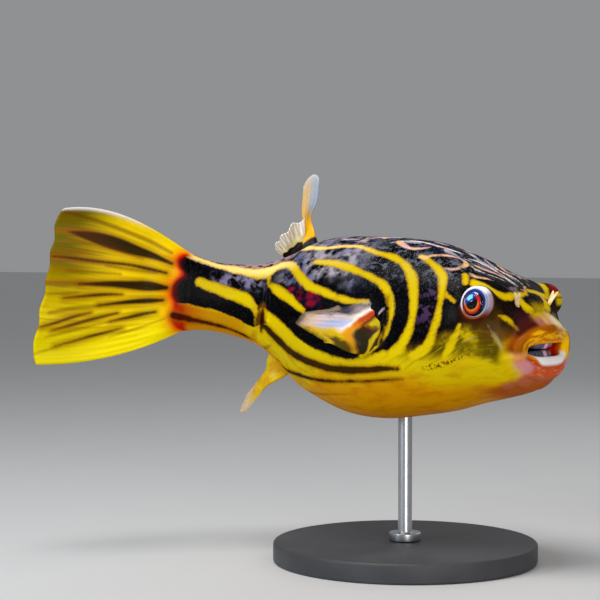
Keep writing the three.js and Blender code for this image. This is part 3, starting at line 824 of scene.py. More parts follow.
# %% The dark lines
LINES = [
    # below the broad band, and one lower on the belly
    [(161, 0.675, 1.5), (152, 0.695, 2.3), (144, 0.685, 2.5), (136, 0.672, 2.4), (127, 0.66, 2.3),
     (117, 0.65, 2.2), (106, 0.642, 2.2), (95, 0.634, 2.1), (84, 0.627, 1.8), (75, 0.622, 1.5),
     (66, 0.625, 0.9)],
    [(146, 0.9, 1.1), (142, 0.86, 1.3), (137, 0.81, 1.4), (130, 0.77, 1.5), (122, 0.742, 1.3),
     (113, 0.715, 1.2), (104, 0.695, 1), (95, 0.68, 0.9), (85, 0.672, 0.8), (75, 0.668, 0.7),
     (64, 0.667, 0.5)],
    # in the folds of the tail's bend
    [(162.8, 0.5, 0.8), (162.3, 0.587, 1.8), (162, 0.683, 1.9), (161.8, 0.75, 0.9)],
    [(165, 0.8, 0.4), (165, 0.86, 0.8), (164.5, 0.91, 0.3)],
    # along the lower edge of the tail stem
    [(209, 0.745, 2), (205.5, 0.78, 2), (200.5, 0.815, 1.7), (195.5, 0.83, 1.4), (186, 0.85, 1.1),
     (178, 0.865, 1), (170, 0.89, 0.8), (163.5, 0.935, 0.5)],
    # streaks of the tail fin, from the top down
    [(213, 0.235, 0.9), (222, 0.218, 1.7), (231, 0.213, 2.6), (241, 0.205, 3.4), (251, 0.196, 3.2),
     (260, 0.186, 2), (268, 0.176, 0.5)],
    [(215, 0.335, 0.8), (225, 0.33, 1), (233, 0.327, 0.8), (245, 0.34, 0.8), (255, 0.345, 0.9),
     (265, 0.345, 0.8), (274, 0.347, 0.5)],
    [(214, 0.47, 1.2), (222, 0.47, 2.5), (232, 0.475, 2.2), (242, 0.482, 1.7), (250, 0.492, 1.3),
     (258, 0.502, 0.8)],
    [(236, 0.55, 0.5), (243, 0.555, 0.8), (250, 0.567, 0.9), (257, 0.582, 0.7), (265, 0.6, 0.4)],
    [(215, 0.588, 0.9), (222, 0.593, 1.5), (230, 0.602, 1.3), (238, 0.616, 1), (247, 0.633, 0.7)],
    [(218, 0.692, 0.7), (225, 0.706, 1), (232, 0.725, 0.9), (240, 0.745, 0.5)],
    [(237, 0.687, 0.5), (244, 0.708, 0.8), (252, 0.735, 0.9), (260, 0.767, 0.8), (268, 0.8, 0.5)],
    [(250, 0.68, 0.4), (258, 0.71, 0.8), (266, 0.75, 0.8), (274, 0.787, 0.5)],
    [(234, 0.8, 0.4), (241, 0.817, 0.7), (250, 0.84, 0.8), (258, 0.867, 0.6), (265, 0.89, 0.3)],
]

print("dark lines:", len(LINES))

# %% Faint lines, scribbles, painted highlights and edges
# Fainter brown lines, as on the belly and between the streaks.
FAINT = [
    [(128, 0.9, 0.6), (122, 0.85, 0.8), (114, 0.8, 0.7), (106, 0.765, 0.6), (98, 0.745, 0.4)],
    [(53, 0.622, 0.6), (48, 0.618, 1.4), (41, 0.61, 1.2), (32.5, 0.595, 1), (26.5, 0.579, 0.7),
     (21, 0.568, 0.4)],
    [(154, 0.8, 0.4), (157, 0.87, 1.2), (158.5, 0.93, 0.8)],
    [(147, 0.86, 0.4), (149, 0.88, 0.8), (151, 0.92, 0.4)],
    [(214, 0.135, 0.8), (225, 0.113, 1.2), (240, 0.103, 1.2), (255, 0.085, 1), (265, 0.062, 1),
     (273, 0.035, 0.8)],
    [(228, 0.26, 0.6), (236, 0.25, 0.8), (250, 0.236, 0.7)],
    [(220, 0.35, 0.7), (232, 0.36, 0.8), (246, 0.362, 0.6)],
    [(238, 0.405, 0.6), (246, 0.412, 0.8), (256, 0.422, 0.7), (266, 0.427, 0.5)],
    [(256, 0.5, 1), (266, 0.513, 1.6), (274, 0.52, 1.2)],
    [(258, 0.556, 0.3), (266, 0.572, 0.6), (274, 0.588, 0.4)],
    [(246, 0.633, 0.8), (258, 0.657, 1.2), (270, 0.697, 0.9)],
    [(240, 0.745, 0.5), (250, 0.772, 0.6), (260, 0.803, 0.6), (270, 0.842, 0.4)],
    [(213, 0.765, 0.4), (222, 0.8, 0.5), (231, 0.83, 0.5), (240, 0.858, 0.3)],
    [(262, 0.888, 0.4), (269, 0.915, 0.6), (275, 0.94, 0.4)],
]

# Pale pinkish scribbles on the crown.
SCRIBBLES = [
    [(69, 0.1, 1), (72, 0.12, 1.3), (76, 0.131, 1.4), (80.5, 0.123, 1.8), (84.5, 0.105, 2.1),
     (88, 0.08, 1)],
    [(65, 0.16, 0.5), (61, 0.135, 0.9), (57, 0.117, 1.2), (52, 0.103, 1.2), (48, 0.108, 1.2),
     (45.8, 0.132, 1.3), (47, 0.165, 1.1), (50, 0.19, 1), (54, 0.198, 0.6)],
    [(43, 0.095, 0.6), (40, 0.087, 1.6), (37, 0.076, 1.6), (33.5, 0.06, 1), (29, 0.046, 0.5)],
    [(41, 0.17, 0.4), (36.7, 0.176, 1.2), (32.3, 0.16, 1.1), (28.5, 0.146, 0.5)],
    [(20, 0.03, 0.6), (18.5, 0.0, 0.8)],
    [(68.8, 0.174, 1.4), (66, 0.172, 1.2)],
    [(97, 0.06, 0.7), (99, 0.03, 1.2), (104, 0.06, 0.6), (108, 0.09, 0.9)],
    # on the cheek
    [(18.5, 0.4, 0.3), (15.3, 0.421, 0.7), (12, 0.437, 1), (8.7, 0.468, 0.8), (7.4, 0.51, 0.2)],
    [(31, 0.53, 0.1), (26.2, 0.508, 0.3), (22.4, 0.484, 0.1)],
]

# Painted highlights: white lines where light catches the ridge of the back, and a fleck of highlight beside
# the fin's root.
PAINTED_HIGHLIGHTS = [
    [(86, 0.078, 0.6), (79.8, 0.058, 1.1), (71.3, 0.066, 1.2), (63, 0.066, 1.2), (57.6, 0.056, 0.9),
     (53, 0.044, 0.4)],
    [(56, 0.0, 0.3), (51, 0.006, 0.8), (46, 0.0, 0.5)],
    [(49, 0.07, 0.4), (44.4, 0.04, 0.8), (39.4, 0.026, 0.9), (33.4, 0.026, 0.8), (26.8, 0.034, 0.7),
     (21, 0.03, 0.3)],
    [(44, 0.115, 0.3), (41, 0.125, 0.7), (37, 0.118, 0.5), (31, 0.098, 0.5), (26, 0.078, 0.3)],
    [(81, 0.434, 0.2), (79.2, 0.416, 0.7), (77, 0.394, 0.3)],
]

# Where the black cover ends: ahead at the snout, below on the body, and behind on the tail fin.
FRONT_EDGE = [(0, 12), (0.08, 10), (0.15, 4.5), (0.24, 3), (0.34, 4.5), (0.42, 8), (0.5, 16), (1, 20)]
LOWER_EDGE = [
    (0, 0.3), (5, 0.36), (9, 0.42), (14, 0.44), (25, 0.45), (35, 0.47), (45, 0.5), (58, 0.545), (72, 0.57),
    (90, 0.6), (150, 0.61), (161, 0.66), (166, 0.735), (171, 0.735), (177, 0.7), (184, 0.675), (191, 0.655),
    (205, 0.63), (215, 0.6),
]
REAR_EDGE = [
    (0, 201), (0.06, 204), (0.12, 207.5), (0.18, 209.5), (0.24, 208.8), (0.29, 206.5), (0.33, 206.8),
    (0.38, 209), (0.45, 211), (0.53, 210.8), (0.6, 209), (0.68, 208), (0.8, 208), (0.9, 205), (1, 200),
]

STROKES = {"band": BANDS, "line": LINES, "faint": FAINT, "scribble": SCRIBBLES, "painted_highlight": PAINTED_HIGHLIGHTS}
print("strokes:", {name: len(strokes) for name, strokes in STROKES.items()})


# %% Lay the markings on the skin
def half_round(place):
    """About how long the skin is from back to belly, for turning girths into millimetres."""
    top, bottom, side = outline(np.clip(place, LIP_FRONT, int(STEM_END)))
    return np.pi * np.sqrt(((top - bottom)**2 / 4 + side**2) / 2)


def eye_numbers(points):
    """Each point's angle from where its eye looks, and how far above and ahead of the eye it is."""
    facing = np.full(len(points), 180.0)
    lift = np.zeros(len(points))
    front = np.zeros(len(points))
    _, forward, _, up = spine_at(EYE["place"])
    for side in (-1, 1):
        offset, reach, angle = angle_from_eye(points, side)
        near = reach < LID["painted"]
        sideways = np.maximum(reach * np.sin(np.radians(angle)), 1e-6)
        facing[near] = angle[near]
        lift[near] = (offset @ up / sideways)[near]
        front[near] = (offset @ forward / sideways)[near]
    return {"facing": facing, "lift": lift, "front": front}


def mark_skin(mesh):
    points = vectors(mesh, "co") / MM
    sides, place, girth = (numbers(mesh, name) for name in ("side", "place", "girth"))
    layers = {name: distance(points, sides, strokes) for name, strokes in STROKES.items()}
    below = (along(LOWER_EDGE, place) - girth) * half_round(place)
    behind = along(REAR_EDGE, girth) - place
    ahead = place - along(FRONT_EDGE, girth)
    layers["cover"] = np.clip(np.minimum(np.minimum(below, behind), ahead), -FAR, FAR)
    layers["halo"] = np.clip(-behind, -FAR, FAR)
    layers.update(eye_numbers(points))
    for name, values in layers.items():
        layer = mesh.attributes.new(name, "FLOAT", "POINT")
        layer.data.foreach_set("value", np.asarray(values, np.float32))
    return list(layers)


print("numbers laid on the skin:", mark_skin(skin.data))

# %% [markdown]
# ## The skin's finish
#
# Museum fish are painted in thin coats from light to dark and then varnished wet. The
# finish is built the same way: yellow that deepens to amber on the belly, olive on the
# cheek, pink and orange on the chin, then the black cover with the yellow bands kept free,
# then lines and scribbles. Painted sheen, glints and highlights go where light catches the
# wet back and snout, and painted shade darkens the throat and the gaps round the eyes.
# The varnish is a clear coat. Fine prickles and pores are bump.
# Each function below mixes one part of the fish's colour, as a list of coats.

# %% The paint under the black
def ground_colour(f, place, girth, band, cloud, blotch, streak, fibre):
    front = f.fade(place, 34, 66)
    low = girth - front * 0.08 - f.ease(place, 108, 136) * 0.2 + (cloud - 0.5) * 0.1
    grained = f.ease(streak, 0.46, 0.66) * f.ease(girth, 0.6, 0.68) * f.fade(place, 150, 164)
    stem = f.ease(place, 164, 176) * f.ease(girth, 0.62, 0.7)
    olive = f.fade(place, 52, 84) * f.patch(girth, 0.38, 0.58, 0.03) * f.ease(place, 6, 12)
    olive = olive * f.ease(band + blotch * 2, 0.2, 2.4) * f.ease(blotch * 0.6 + cloud * 0.4, 0.2, 0.56)
    cheek = f.fade(place, 54, 84) * f.patch(girth, 0.36, 0.62, 0.04) * f.ease(place, 8, 14)
    chin = f.fade(place, 16, 32) * f.ease(girth + (cloud - 0.5) * 0.1, 0.72, 0.79)
    flesh = f.blend(f.ease(cloud, 0.42, 0.6), (164, 72, 20), (164, 88, 74))
    return f.coats(
        (206, 178, 12),
        (f.ease(girth, 0.28, 0.5), (222, 194, 3)),
        (front, (214, 184, 2)),
        (f.ease(low, 0.6, 0.72), (214, 148, 2)),
        (f.ease(low, 0.76, 1.0) * 0.6, (196, 110, 2)),
        (grained * 0.4, (178, 92, 2)),
        (stem * 0.8, (200, 132, 4)),
        (olive * 0.95, (78, 64, 3)),
        (cheek * f.ease(fibre, 0.5, 0.66) * 0.4, (84, 58, 4)),
        (cheek * f.fade(fibre, 0.34, 0.46) * 0.4, (206, 186, 30)),
        (chin * 0.9, flesh),
    )


def tail_colour(f, colour, place, girth, halo, ray, cloud, streak):
    fan = f.ease(halo, -1, 1)
    green = f.ease(place + (streak - 0.5) * 30, 236, 266) * (1 - f.ease(girth, 0.36, 0.7) * 0.75)
    warm = f.ease(streak + (cloud - 0.5) * 0.6, 0.5, 0.72) * f.patch(girth, 0.04, 0.86, 0.04)
    edge = f.fade(girth, 0.006, 0.04) * f.ease(place, 222, 245)
    yellow = f.coats(
        (248, 210, 1),
        (f.ease(girth + (cloud - 0.5) * 0.6, 0.5, 0.86), (255, 232, 1)),
        (green * 0.95, (92, 86, 1)),
        (warm * 0.36, (170, 96, 1)),
        (edge * 0.85, (236, 226, 220)),
        ((1 - ray) * 0.08, (120, 80, 2)),
    )
    low = f.patch(girth, 0.64, 0.92, 0.05)
    root = f.ease(halo + low * 2, -3.5, 0.2) * f.fade(halo + (cloud - 0.5) * 4, 0.6, 4.5)
    root = root * f.ease(girth, 0.02, 0.09)
    flame = f.blend(f.ease(halo, 0, 3), (190, 22, 2), (232, 84, 4))
    under = f.ease(place, 188, 206) * f.patch(girth, 0.6, 0.9, 0.05) * (1 - fan)
    return f.coats(
        colour,
        (fan, yellow),
        (fan * f.fade(halo, 2, 10) * 0.7, (240, 130, 2)),
        (root, flame),
        (under * 0.8, (176, 44, 2)),
    )


print("ground coats ready; amber is", [round(c, 2) for c in light_of((214, 148, 2))])


# %% The black, with its painted sheen and glints
def cover_colour(f, place, girth, halo, streak, cloud, blotch, fine, grain):
    mottle = f.noise(0.0036, detail=2.6)
    deep = f.ease(place, 20, 56).highest(f.fade(girth, 0.12, 0.26))
    warm = f.ease(girth + (blotch - 0.5) * 0.2, 0.27, 0.36) * f.fade(place, 10, 34)
    # Painted sheen and glints: grey mottling on the back and pale speckles stand in for light on the wet,
    # prickly skin.
    back = f.fade(girth, 0.2, 0.36) * f.patch(place, 40, 106, 8)
    glint_speckle = f.ease(grain * 0.5 + fine * 0.5, 0.55, 0.64)
    # Grey-lavender mottling on the upper flank: partly the skin's pattern and partly painted sheen on the
    # wet black.
    grey = f.patch(place, 98, 152, 8) * f.fade(girth + (cloud - 0.5) * 0.2, 0.3, 0.34)
    grey = grey * f.fade(mottle * 0.5 + blotch * 0.5, 0.4, 0.6)
    slate = f.blend(f.ease(cloud, 0.3, 0.7), (96, 100, 136), (190, 180, 190))
    # Painted sheen: pale streaks along the top of the back, where light catches the wet skin.
    sheen = f.fade(girth, 0.08, 0.14) * f.patch(place, 22, 192, 8) * f.ease(streak, 0.55, 0.61)
    sheen_colour = f.blend(f.ease(cloud, 0.4, 0.6), (184, 184, 204), (240, 212, 212))
    navy = f.ease(cloud, 0.5, 0.62) * f.fade(girth, 0.08, 0.2) * f.ease(place, 36, 50) * (1 - sheen)
    stem = f.patch(place, 164, 190, 4) * f.patch(girth, 0.2, 0.36, 0.05) * f.ease(mottle, 0.4, 0.62)
    ridge = f.patch(place, 146, 184, 5) * f.fade(girth, 0.08, 0.14) * f.ease(mottle, 0.4, 0.56)
    purple = f.patch(place, 50, 62, 2) * f.patch(girth, 0.3, 0.45, 0.04) * f.ease(mottle, 0.5, 0.6)
    wine = f.patch(place, 116, 144, 3) * f.patch(girth, 0.35, 0.43, 0.012)
    wine = wine * f.ease(cloud + fine * 0.3, 0.4, 0.62)
    claret = f.blend(f.ease(blotch, 0.4, 0.62), (16, 14, 40), (140, 16, 46))
    lobe = f.patch(place, 133, 147, 3) * f.fade(girth, 0.03, 0.06)
    mauve = f.fade(place, 9, 14) * f.patch(girth, 0.12, 0.26, 0.05)
    ember = f.ease(halo + (blotch - 0.5) * 4, -3.5, 0.3)
    return f.coats(
        (22, 12, 4),
        (deep, (4, 4, 7)),
        (warm, (88, 58, 10)),
        # painted sheen on the back, then painted glints on the prickles
        (f.ease(mottle, 0.5, 0.63) * back * 0.55, (112, 118, 136)),
        (glint_speckle * (0.04 + back * 0.4), (134, 136, 146)),
        (grey * 0.8, slate),
        (sheen * 0.6, sheen_colour),
        (navy * 0.8, (8, 18, 48)),
        (stem * 0.75, (140, 132, 166)),
        (ridge * 0.8, (186, 146, 150)),
        (purple * 0.5, (90, 62, 100)),
        (wine * 0.9, claret),
        (lobe, (26, 4, 8)),
        (mauve * 0.7, (66, 26, 34)),
        (ember * 0.8, (110, 10, 2)),
    )


print("black coats ready; the warm black is", [round(c, 4) for c in light_of((22, 12, 4))])


# %% Lips and lids
def lip_colour(f, colour, place, girth, mouth, side, cloud, blotch, wrinkle):
    far_side = f.ease(side, -0.2, 0.2)
    far_snout_highlight = far_side * f.ease(girth, 0.01, 0.12) * f.fade(girth, 0.2, 0.32)
    golden = f.ease(mouth + f.patch(girth, 0.15, 0.32, 0.05) * 0.15, 0.3, 0.5)
    golden = golden * (1 - f.ease(girth, 0.38, 0.48) * 0.5)
    gold = f.blend(f.ease(wrinkle, 0.42, 0.6), (242, 180, 12), (196, 112, 5))
    rim = f.blend(f.ease(wrinkle, 0.4, 0.6), (236, 168, 36), (196, 112, 20))
    # Painted highlights: cream on the snout's ridge and on its far side, where light catches it.
    upper = f.coats(
        (206, 156, 104),
        (f.ease(girth, 0.03, 0.07), (164, 104, 82)),
        (f.ease(place, 5.5, 8.5), (150, 96, 36)),
        (f.ease(girth, 0.1, 0.16), (66, 18, 16)),
        (f.ease(girth, 0.32, 0.4), (140, 64, 4)),
        (far_snout_highlight, (226, 212, 196)),
        (f.fade(place, 1.6, 4.6), (156, 84, 5)),
        (golden, gold),
        (far_snout_highlight * (0.75 - f.ease(mouth, 0.16, 0.44) * 0.6), (236, 216, 160)),
        (f.ease(mouth, 0.56, 0.66), rim),
    )
    flush = f.patch(girth, 0.58, 0.74, 0.04) * f.ease(cloud + (blotch - 0.5) * 0.4, 0.4, 0.6)
    lower = f.coats(
        (204, 84, 40),
        (flush, (208, 132, 144)),
        (f.ease(mouth, 0.5, 0.62), (196, 76, 20)),
        (f.ease(wrinkle, 0.5, 0.64) * 0.45, (222, 162, 130)),
        (f.fade(mouth, 0.22, 0.36) * f.ease(girth, 0.76, 0.84), (176, 92, 60)),
        (f.fade(girth, 0.54, 0.6), (222, 152, 90)),
    )
    lips = f.blend(f.ease(girth, 0.48, 0.54), upper, lower)
    reach = place + (blotch - 0.5) * 4 + f.ease(girth, 0.44, 0.56) * 4.5
    inner = f.blend(f.ease(mouth - far_side * 0.06, 0.85, 1.2), (240, 150, 8), (206, 18, 2))
    corner = far_side * f.patch(mouth, 0.45, 0.9, 0.1) * f.patch(girth, 0.25, 0.62, 0.05)
    level = 0.9 - f.ease(girth + far_side * 0.4, 0.6, 0.84) * 0.28
    white = f.ease(mouth - level, -0.06, 0.06) * f.fade(mouth, 0.98, 1.06)
    white = white * f.ease(girth + far_side * 0.04, 0.56, 0.62)
    return f.coats(
        colour,
        (f.fade(reach, 4.5, 11), lips),
        (f.ease(mouth, 0.68, 0.8), inner),
        (corner, (255, 200, 8)),
        (white, (250, 246, 248)),
        # Painted shade: deep in the throat the mouth is painted nearly black.
        (f.ease(mouth - far_side * 0.2, 1.2, 1.5), (30, 4, 5)),
    )


def eyelid_colour(f, colour, side, facing, lift, front):
    far_side = f.ease(side, -0.2, 0.2)
    ahead = f.ease(front, -0.2, 0.6)
    right_lid = f.coats(
        (120, 60, 34),
        (f.ease(lift, -0.6, 0.1), (178, 160, 182)),
        (f.ease(lift - front * 0.35, 0.3, 0.7), (248, 248, 250)),
        (f.ease(facing, 78, 92) * ahead, (116, 74, 36)),
        (f.fade(lift + front * 0.2, -0.7, -0.25), (78, 28, 6)),
    )
    left_lid = f.coats(
        (226, 190, 6),
        (f.ease(lift, 0.5, 0.68), (130, 14, 8)),
        (f.patch(lift, 0.26, 0.36, 0.08) * 0.8, (30, 14, 10)),
        (f.fade(lift, -0.25, 0.0), (46, 18, 12)),
    )
    rim = f.coats(
        (242, 242, 248),
        (f.ease(front - lift * 0.3, 0, 0.7), (116, 130, 156)),
        (f.fade(lift, -0.7, -0.1), (176, 84, 40)),
        (far_side, (206, 62, 20)),
    )
    reach = 69 + ahead * (12 + f.ease(lift, -0.7, 0) * 8 + far_side * 20) + f.ease(lift, 0.4, 0.9) * 3
    return f.coats(
        colour,
        (f.fade(facing - reach, far_side * -11 - 5, 6) * 0.95, f.blend(far_side, right_lid, left_lid)),
        (f.fade(facing, 61, 65), rim),
        # Painted shade: the skin inside the lid, in the gap round the eyeball, is painted nearly black.
        (f.fade(facing, 57, 61), (20, 14, 20)),
    )


print("lip and lid coats ready; the throat's red is", [round(c, 2) for c in light_of((206, 18, 2))])


# %% Paint the skin
def skin_relief(f, place, girth, streak, blotch, wrinkle, fibre, fine):
    """Prickles and pores over wrinkles and folds."""
    prickle = f.node("TexVoronoi", {}, {"Vector": f.point, "Scale": 1 / 0.0011})
    body = f.fade(place, 196, 208)
    folds = streak * f.fade(girth, 0.16, 0.3) * body + blotch * 0.5 + wrinkle * f.fade(place, 4, 9) * 0.9
    folds = folds + fibre * f.patch(place, 10, 70, 6) * f.patch(girth, 0.34, 0.66, 0.05) * 0.7
    return f.bump(prickle * body * 0.5 + fine * 0.7, 0.00022, 0.5, under=f.bump(folds, 0.0009, 0.5))


def skin_finish():
    f = Finish("wet_skin", roughness=0.4, specular=0.0, coat=0.1, coat_roughness=0.26)
    place, girth, mouth, ray, side = f.read("place", "girth", "mouth", "ray", "side")
    band, line, faint, scribble, painted_highlight = f.read("band", "line", "faint", "scribble", "painted_highlight")
    cover, halo, facing, lift, front = f.read("cover", "halo", "facing", "lift", "front")
    grain = f.noise(0.0006, detail=1)
    fine = f.noise(0.0012, detail=3)
    blotch = f.noise(0.006, detail=3)
    cloud = f.noise(0.02)
    streak = f.grain(place * 0.08, girth * 24 + blotch, side * 9, detail=3)
    brushed = f.grain(place * 0.012, girth * 26, 0, detail=2)
    fibre = f.grain(place * 0.1 + blotch, girth * 56 - place * 0.3, side * 5, detail=4)
    wrinkle = f.grain(mouth * 8 + blotch * 2, girth * 8, side * 3, detail=3)
    fan = f.ease(place, 203, 212)
    ragged = ((fine - 0.5) * 1.6 + (blotch - 0.5) * 2.6) * (1 - fan * 0.9) + (brushed - 0.5) * fan

    ground = ground_colour(f, place, girth, band, cloud, blotch, streak, fibre)
    cream = f.fade(girth, 0.14, 0.27) * f.ease(place, 88, 112)
    ground = f.blend(cream * 0.75, ground, (250, 226, 140))
    ground = tail_colour(f, ground, place, girth, halo, ray, cloud, brushed)

    soft = 0.5 + f.fade(place, 56, 96) * 3.6
    covered = f.ease(cover + ragged * (0.6 + soft * 0.4), 0 - soft, soft)
    open_band = band + ragged * 0.8
    fringe = f.blend(cream, (140, 78, 4), (150, 62, 50))
    black = cover_colour(f, place, girth, halo, streak, cloud, blotch, fine, grain)

    pinkish = f.coats(
        (236, 184, 116),
        (f.ease(blotch, 0.4, 0.6), (230, 180, 176)),
        (f.ease(girth, 0.28, 0.32), (176, 168, 112)),
    )
    worn = (1 - f.ease(girth, 0.28, 0.32) * 0.4) * f.ease(fine * 0.5 + streak * 0.5, 0.3, 0.5)
    # Painted highlights: the white of the lines along the back's ridge and the fleck by the fin's root.
    white = f.blend(f.ease(blotch, 0.45, 0.6), (232, 226, 232), (226, 186, 190))
    brown = f.ease(place, 236, 262) + f.patch(place, 60, 150, 8) * f.ease(cloud, 0.35, 0.65) * 0.8
    ink = f.coats(
        (14, 5, 2),
        (brown, (64, 30, 2)),
        (f.patch(place, 160, 212, 6) * f.patch(girth, 0.7, 0.95, 0.02), (62, 4, 2)),
    )
    thin = line + ragged * 0.6
    speckled = 0.6 + f.fade(place, 54, 60) * (f.ease(fine, 0.44, 0.58) * 1.1 - 0.7)
    colour = f.coats(
        ground,
        (covered * f.ease(open_band, -1.6, 0.2) * 0.6, fringe),
        (covered * f.ease(open_band, -0.5, 0.6), black),
        (f.fade(scribble + ragged * 0.9, -0.9, 0.5) * worn, pinkish),
        (f.fade(painted_highlight + ragged * 0.5, -0.6, 0.3) * 0.9, white),
        (f.fade(thin, -0.6, 1.8 + fan * 1.6) * 0.65, (150, 84, 2)),
        (f.fade(thin, -0.9, 0.4 + fan * 0.2) * 0.95, ink),
        (f.fade(faint + ragged * 0.6, -0.9, 0.9) * speckled, (110, 56, 2)),
    )
    colour = lip_colour(f, colour, place, girth, mouth, side, cloud, blotch, wrinkle)
    f.set("Base Color", eyelid_colour(f, colour, side, facing, lift, front))
    f.set("Normal", skin_relief(f, place, girth, streak, blotch, wrinkle, fibre, fine))
    f.set("Roughness", 0.36 + fine * 0.2)
    return f.material


dress(skin, skin_finish(), "skin", "head", "trunk", "tail_stem", "lip_upper", "lip_lower", "caudal_fin")

# %% [markdown]
# ## Eyes
#
# A fish's eye is a clear dome over a nearly flat iris. Each eye is two pieces. The ball is
# a sphere whose front is flattened into the iris, with the pupil sunk in it. The cornea is
# a thin clear sphere round it, and is only there to shine.

# %% Turned eyeballs
IRIS = {"pupil": 27, "edge": 57, "flat": 6.4, "sunk": 0.4}
RIMS = {"right": (200, 204, 220), "left": (206, 62, 20)}
SIDES = {"right": -1, "left": 1}


def eye_ball(name, side, radius, flatten):
    bm = bmesh.new()
    bmesh.ops.create_uvsphere(bm, u_segments=64, v_segments=40, radius=1)
    slots = {word: bm.verts.layers.float.new(word) for word in ("ring", "lift", "front")}
    _, forward, _, up = (Vector(direction) for direction in spine_at(EYE["place"]))
    axis = Vector(eye_axis(side))
    turn = axis.to_track_quat("Z", "Y")
    centre = Vector(eye_centre(side))
    edge = math.radians(IRIS["edge"])
    for vertex in bm.verts:
        angle = vertex.co.angle(Vector((0, 0, 1)))
        ring = math.degrees(angle)
        vertex.co.rotate(turn)
        sideways = vertex.co - axis * vertex.co.dot(axis)
        sideways.normalize()
        vertex[slots["ring"]] = ring
        vertex[slots["lift"]] = sideways.dot(up)
        vertex[slots["front"]] = sideways.dot(forward)
        vertex.co *= radius
        if flatten and angle < edge:
            dome = mix(IRIS["flat"], radius * math.cos(edge), (math.sin(angle) / math.sin(edge))**2)
            pit = IRIS["sunk"] * (1 - ease(IRIS["pupil"] - 4, IRIS["pupil"] + 2, ring))
            vertex.co += axis * (dome - pit - vertex.co.dot(axis))
        vertex.co = (vertex.co + centre) * MM
    return finish_shell(name, bm)


def iris_finish(name, rim):
    f = Finish(name, roughness=0.6, specular=0.1)
    ring, lift, front = f.read("ring", "lift", "front")
    shifted = ring + (lift * 0.7 + front * 0.7) * f.ease(ring, 5, 40) * 6
    flame = f.coats(
        (255, 136, 12),
        (f.ease(shifted, 26, 36), (220, 20, 6)),
        (f.ease(lift, -0.2, 0.6), (204, 22, 40)),
        (f.ease(f.noise(0.0009, detail=3), 0.5, 0.7) * 0.3, (130, 6, 8)),
    )
    night = f.ease(lift + front * 0.8, 0.1, 0.6) * f.ease(ring, 44, 49)
    # Painted reflection: up and behind the pupil, a blue patch, a pale arc and a cyan glint stand in for a
    # cool lamp's reflection in the cornea.
    behind = lift * 0.75 - front * 0.66
    glint = f.ease(behind, 0.66, 0.92) * f.patch(ring, 12, 30, 4)
    f.set("Base Color", f.coats(
        (2, 2, 4),
        (f.ease(shifted, 22, 25), flame),
        (f.ease(shifted, 38, 42), (5, 4, 8)),
        (night, (16, 66, 150)),
        (f.ease(behind, 0.2, 0.7) * f.patch(ring, 8, 42, 5), (12, 50, 140)),
        (f.patch(ring, 34, 39, 2) * f.patch(behind, 0.35, 0.8, 0.1), (190, 200, 220)),
        (glint, f.blend(glint, (10, 80, 210), (140, 230, 255))),
        (f.ease(ring, 54.5, 57.5), rim),
    ))
    return f.material


def cornea_finish():
    f = Finish("cornea", roughness=0.02)
    clear = f.node("BsdfTransparent", {}, {"Color": (0.97, 0.98, 1.0, 1)})
    gloss = f.node("BsdfGlossy", {}, {"Color": (1, 1, 1, 1), "Roughness": 0.03})
    shine = f.node("Fresnel", {}, {"IOR": 1.22})
    both = f.node("MixShader", {}, {0: shine, 1: clear, 2: gloss})
    f.join(both, f.tree.nodes["Material Output"].inputs["Surface"])
    f.tree.nodes.remove(f.shader)
    return f.material


CORNEA_FINISH = cornea_finish()
for word, side in SIDES.items():
    ball = eye_ball("eyeball_" + word, side, EYE["radius"] - 0.1, True)
    cornea = eye_ball("cornea_" + word, side, EYE["radius"] + 0.05, False)
    dress(ball, iris_finish(word + "_iris", RIMS[word]), "eye", "eye_" + word)
    dress(cornea, CORNEA_FINISH, "eye", "eye_" + word)

# %% [markdown]
# ## The other fins
#
# Each of the other fins is a thick fleshy lobe that thins to a fan of rays. A fin is made
# from one formula for its middle surface and one for its thickness. The same rolled grid
# as the skin's gives it two faces and round edges, and its root is buried in the body.

# %% One way to make a fin
NUDGE = 1e-3        # a small step on a surface, to find which way it faces
FIN_STEPS = {"long": 60, "across": 70}


def fin_shell(name, surface, thickness, rays, ridge, relief=1.0, wave=0.5):
    u = np.linspace(0, 1, FIN_STEPS["long"] + 1)[:, None]
    v = np.linspace(0, 1, FIN_STEPS["across"] + 1)[None]
    rayward = surface(u + NUDGE, v) - surface(u - NUDGE, v)
    across = surface(u, v + NUDGE) - surface(u, v - NUDGE)
    normal = np.cross(rayward, across)
    normal /= np.linalg.norm(normal, axis=-1, keepdims=True)
    ridges = ray_ridges(v, u, rays, splits=(0.5, 0.8))
    past = u - along(ridge, v)
    free = ease(0.04, 0.2, past)
    half = thickness(u, v) / 2 * round_off(v, 0.04) * round_off(u, 0.03)
    half = half * mix(1, 1 + relief * (0.65 * ridges - 0.55), free)
    middle = surface(u, v) + normal * (wave * free * np.sin(v * rays * 3.1 + u * 2))[..., None]
    points = there_and_back(middle + normal * half[..., None], middle - normal * half[..., None])
    layers = {"reach": u + 0 * v, "across": v + 0 * u, "ray": ridges, "past": past}
    layers = {word: there_and_back(values, values) for word, values in layers.items()}
    return finish_shell(name, rolled_grid(points, layers))


def start_fin(name, *words):
    f = Finish(name, roughness=0.42, specular=0.12, coat=0.1, coat_roughness=0.15)
    return f, *f.read(*words)


def finish_fin(f, colour, ray):
    fine = f.noise(0.0012, detail=3)
    f.set("Base Color", colour)
    f.set("Normal", f.bump(fine * 0.6 + ray * 0.6, 0.0003, 0.5))
    return f.material


print("each fin's grid:", FIN_STEPS)

# %% [markdown]
# ### The fin on the back
#
# It grows far back, opposite the fin below the tail. A tall blade stands up from a narrow
# neck, and a low fan of rays lies over to one side behind it. They bend so differently
# that each is a fin of its own, on one shared root.

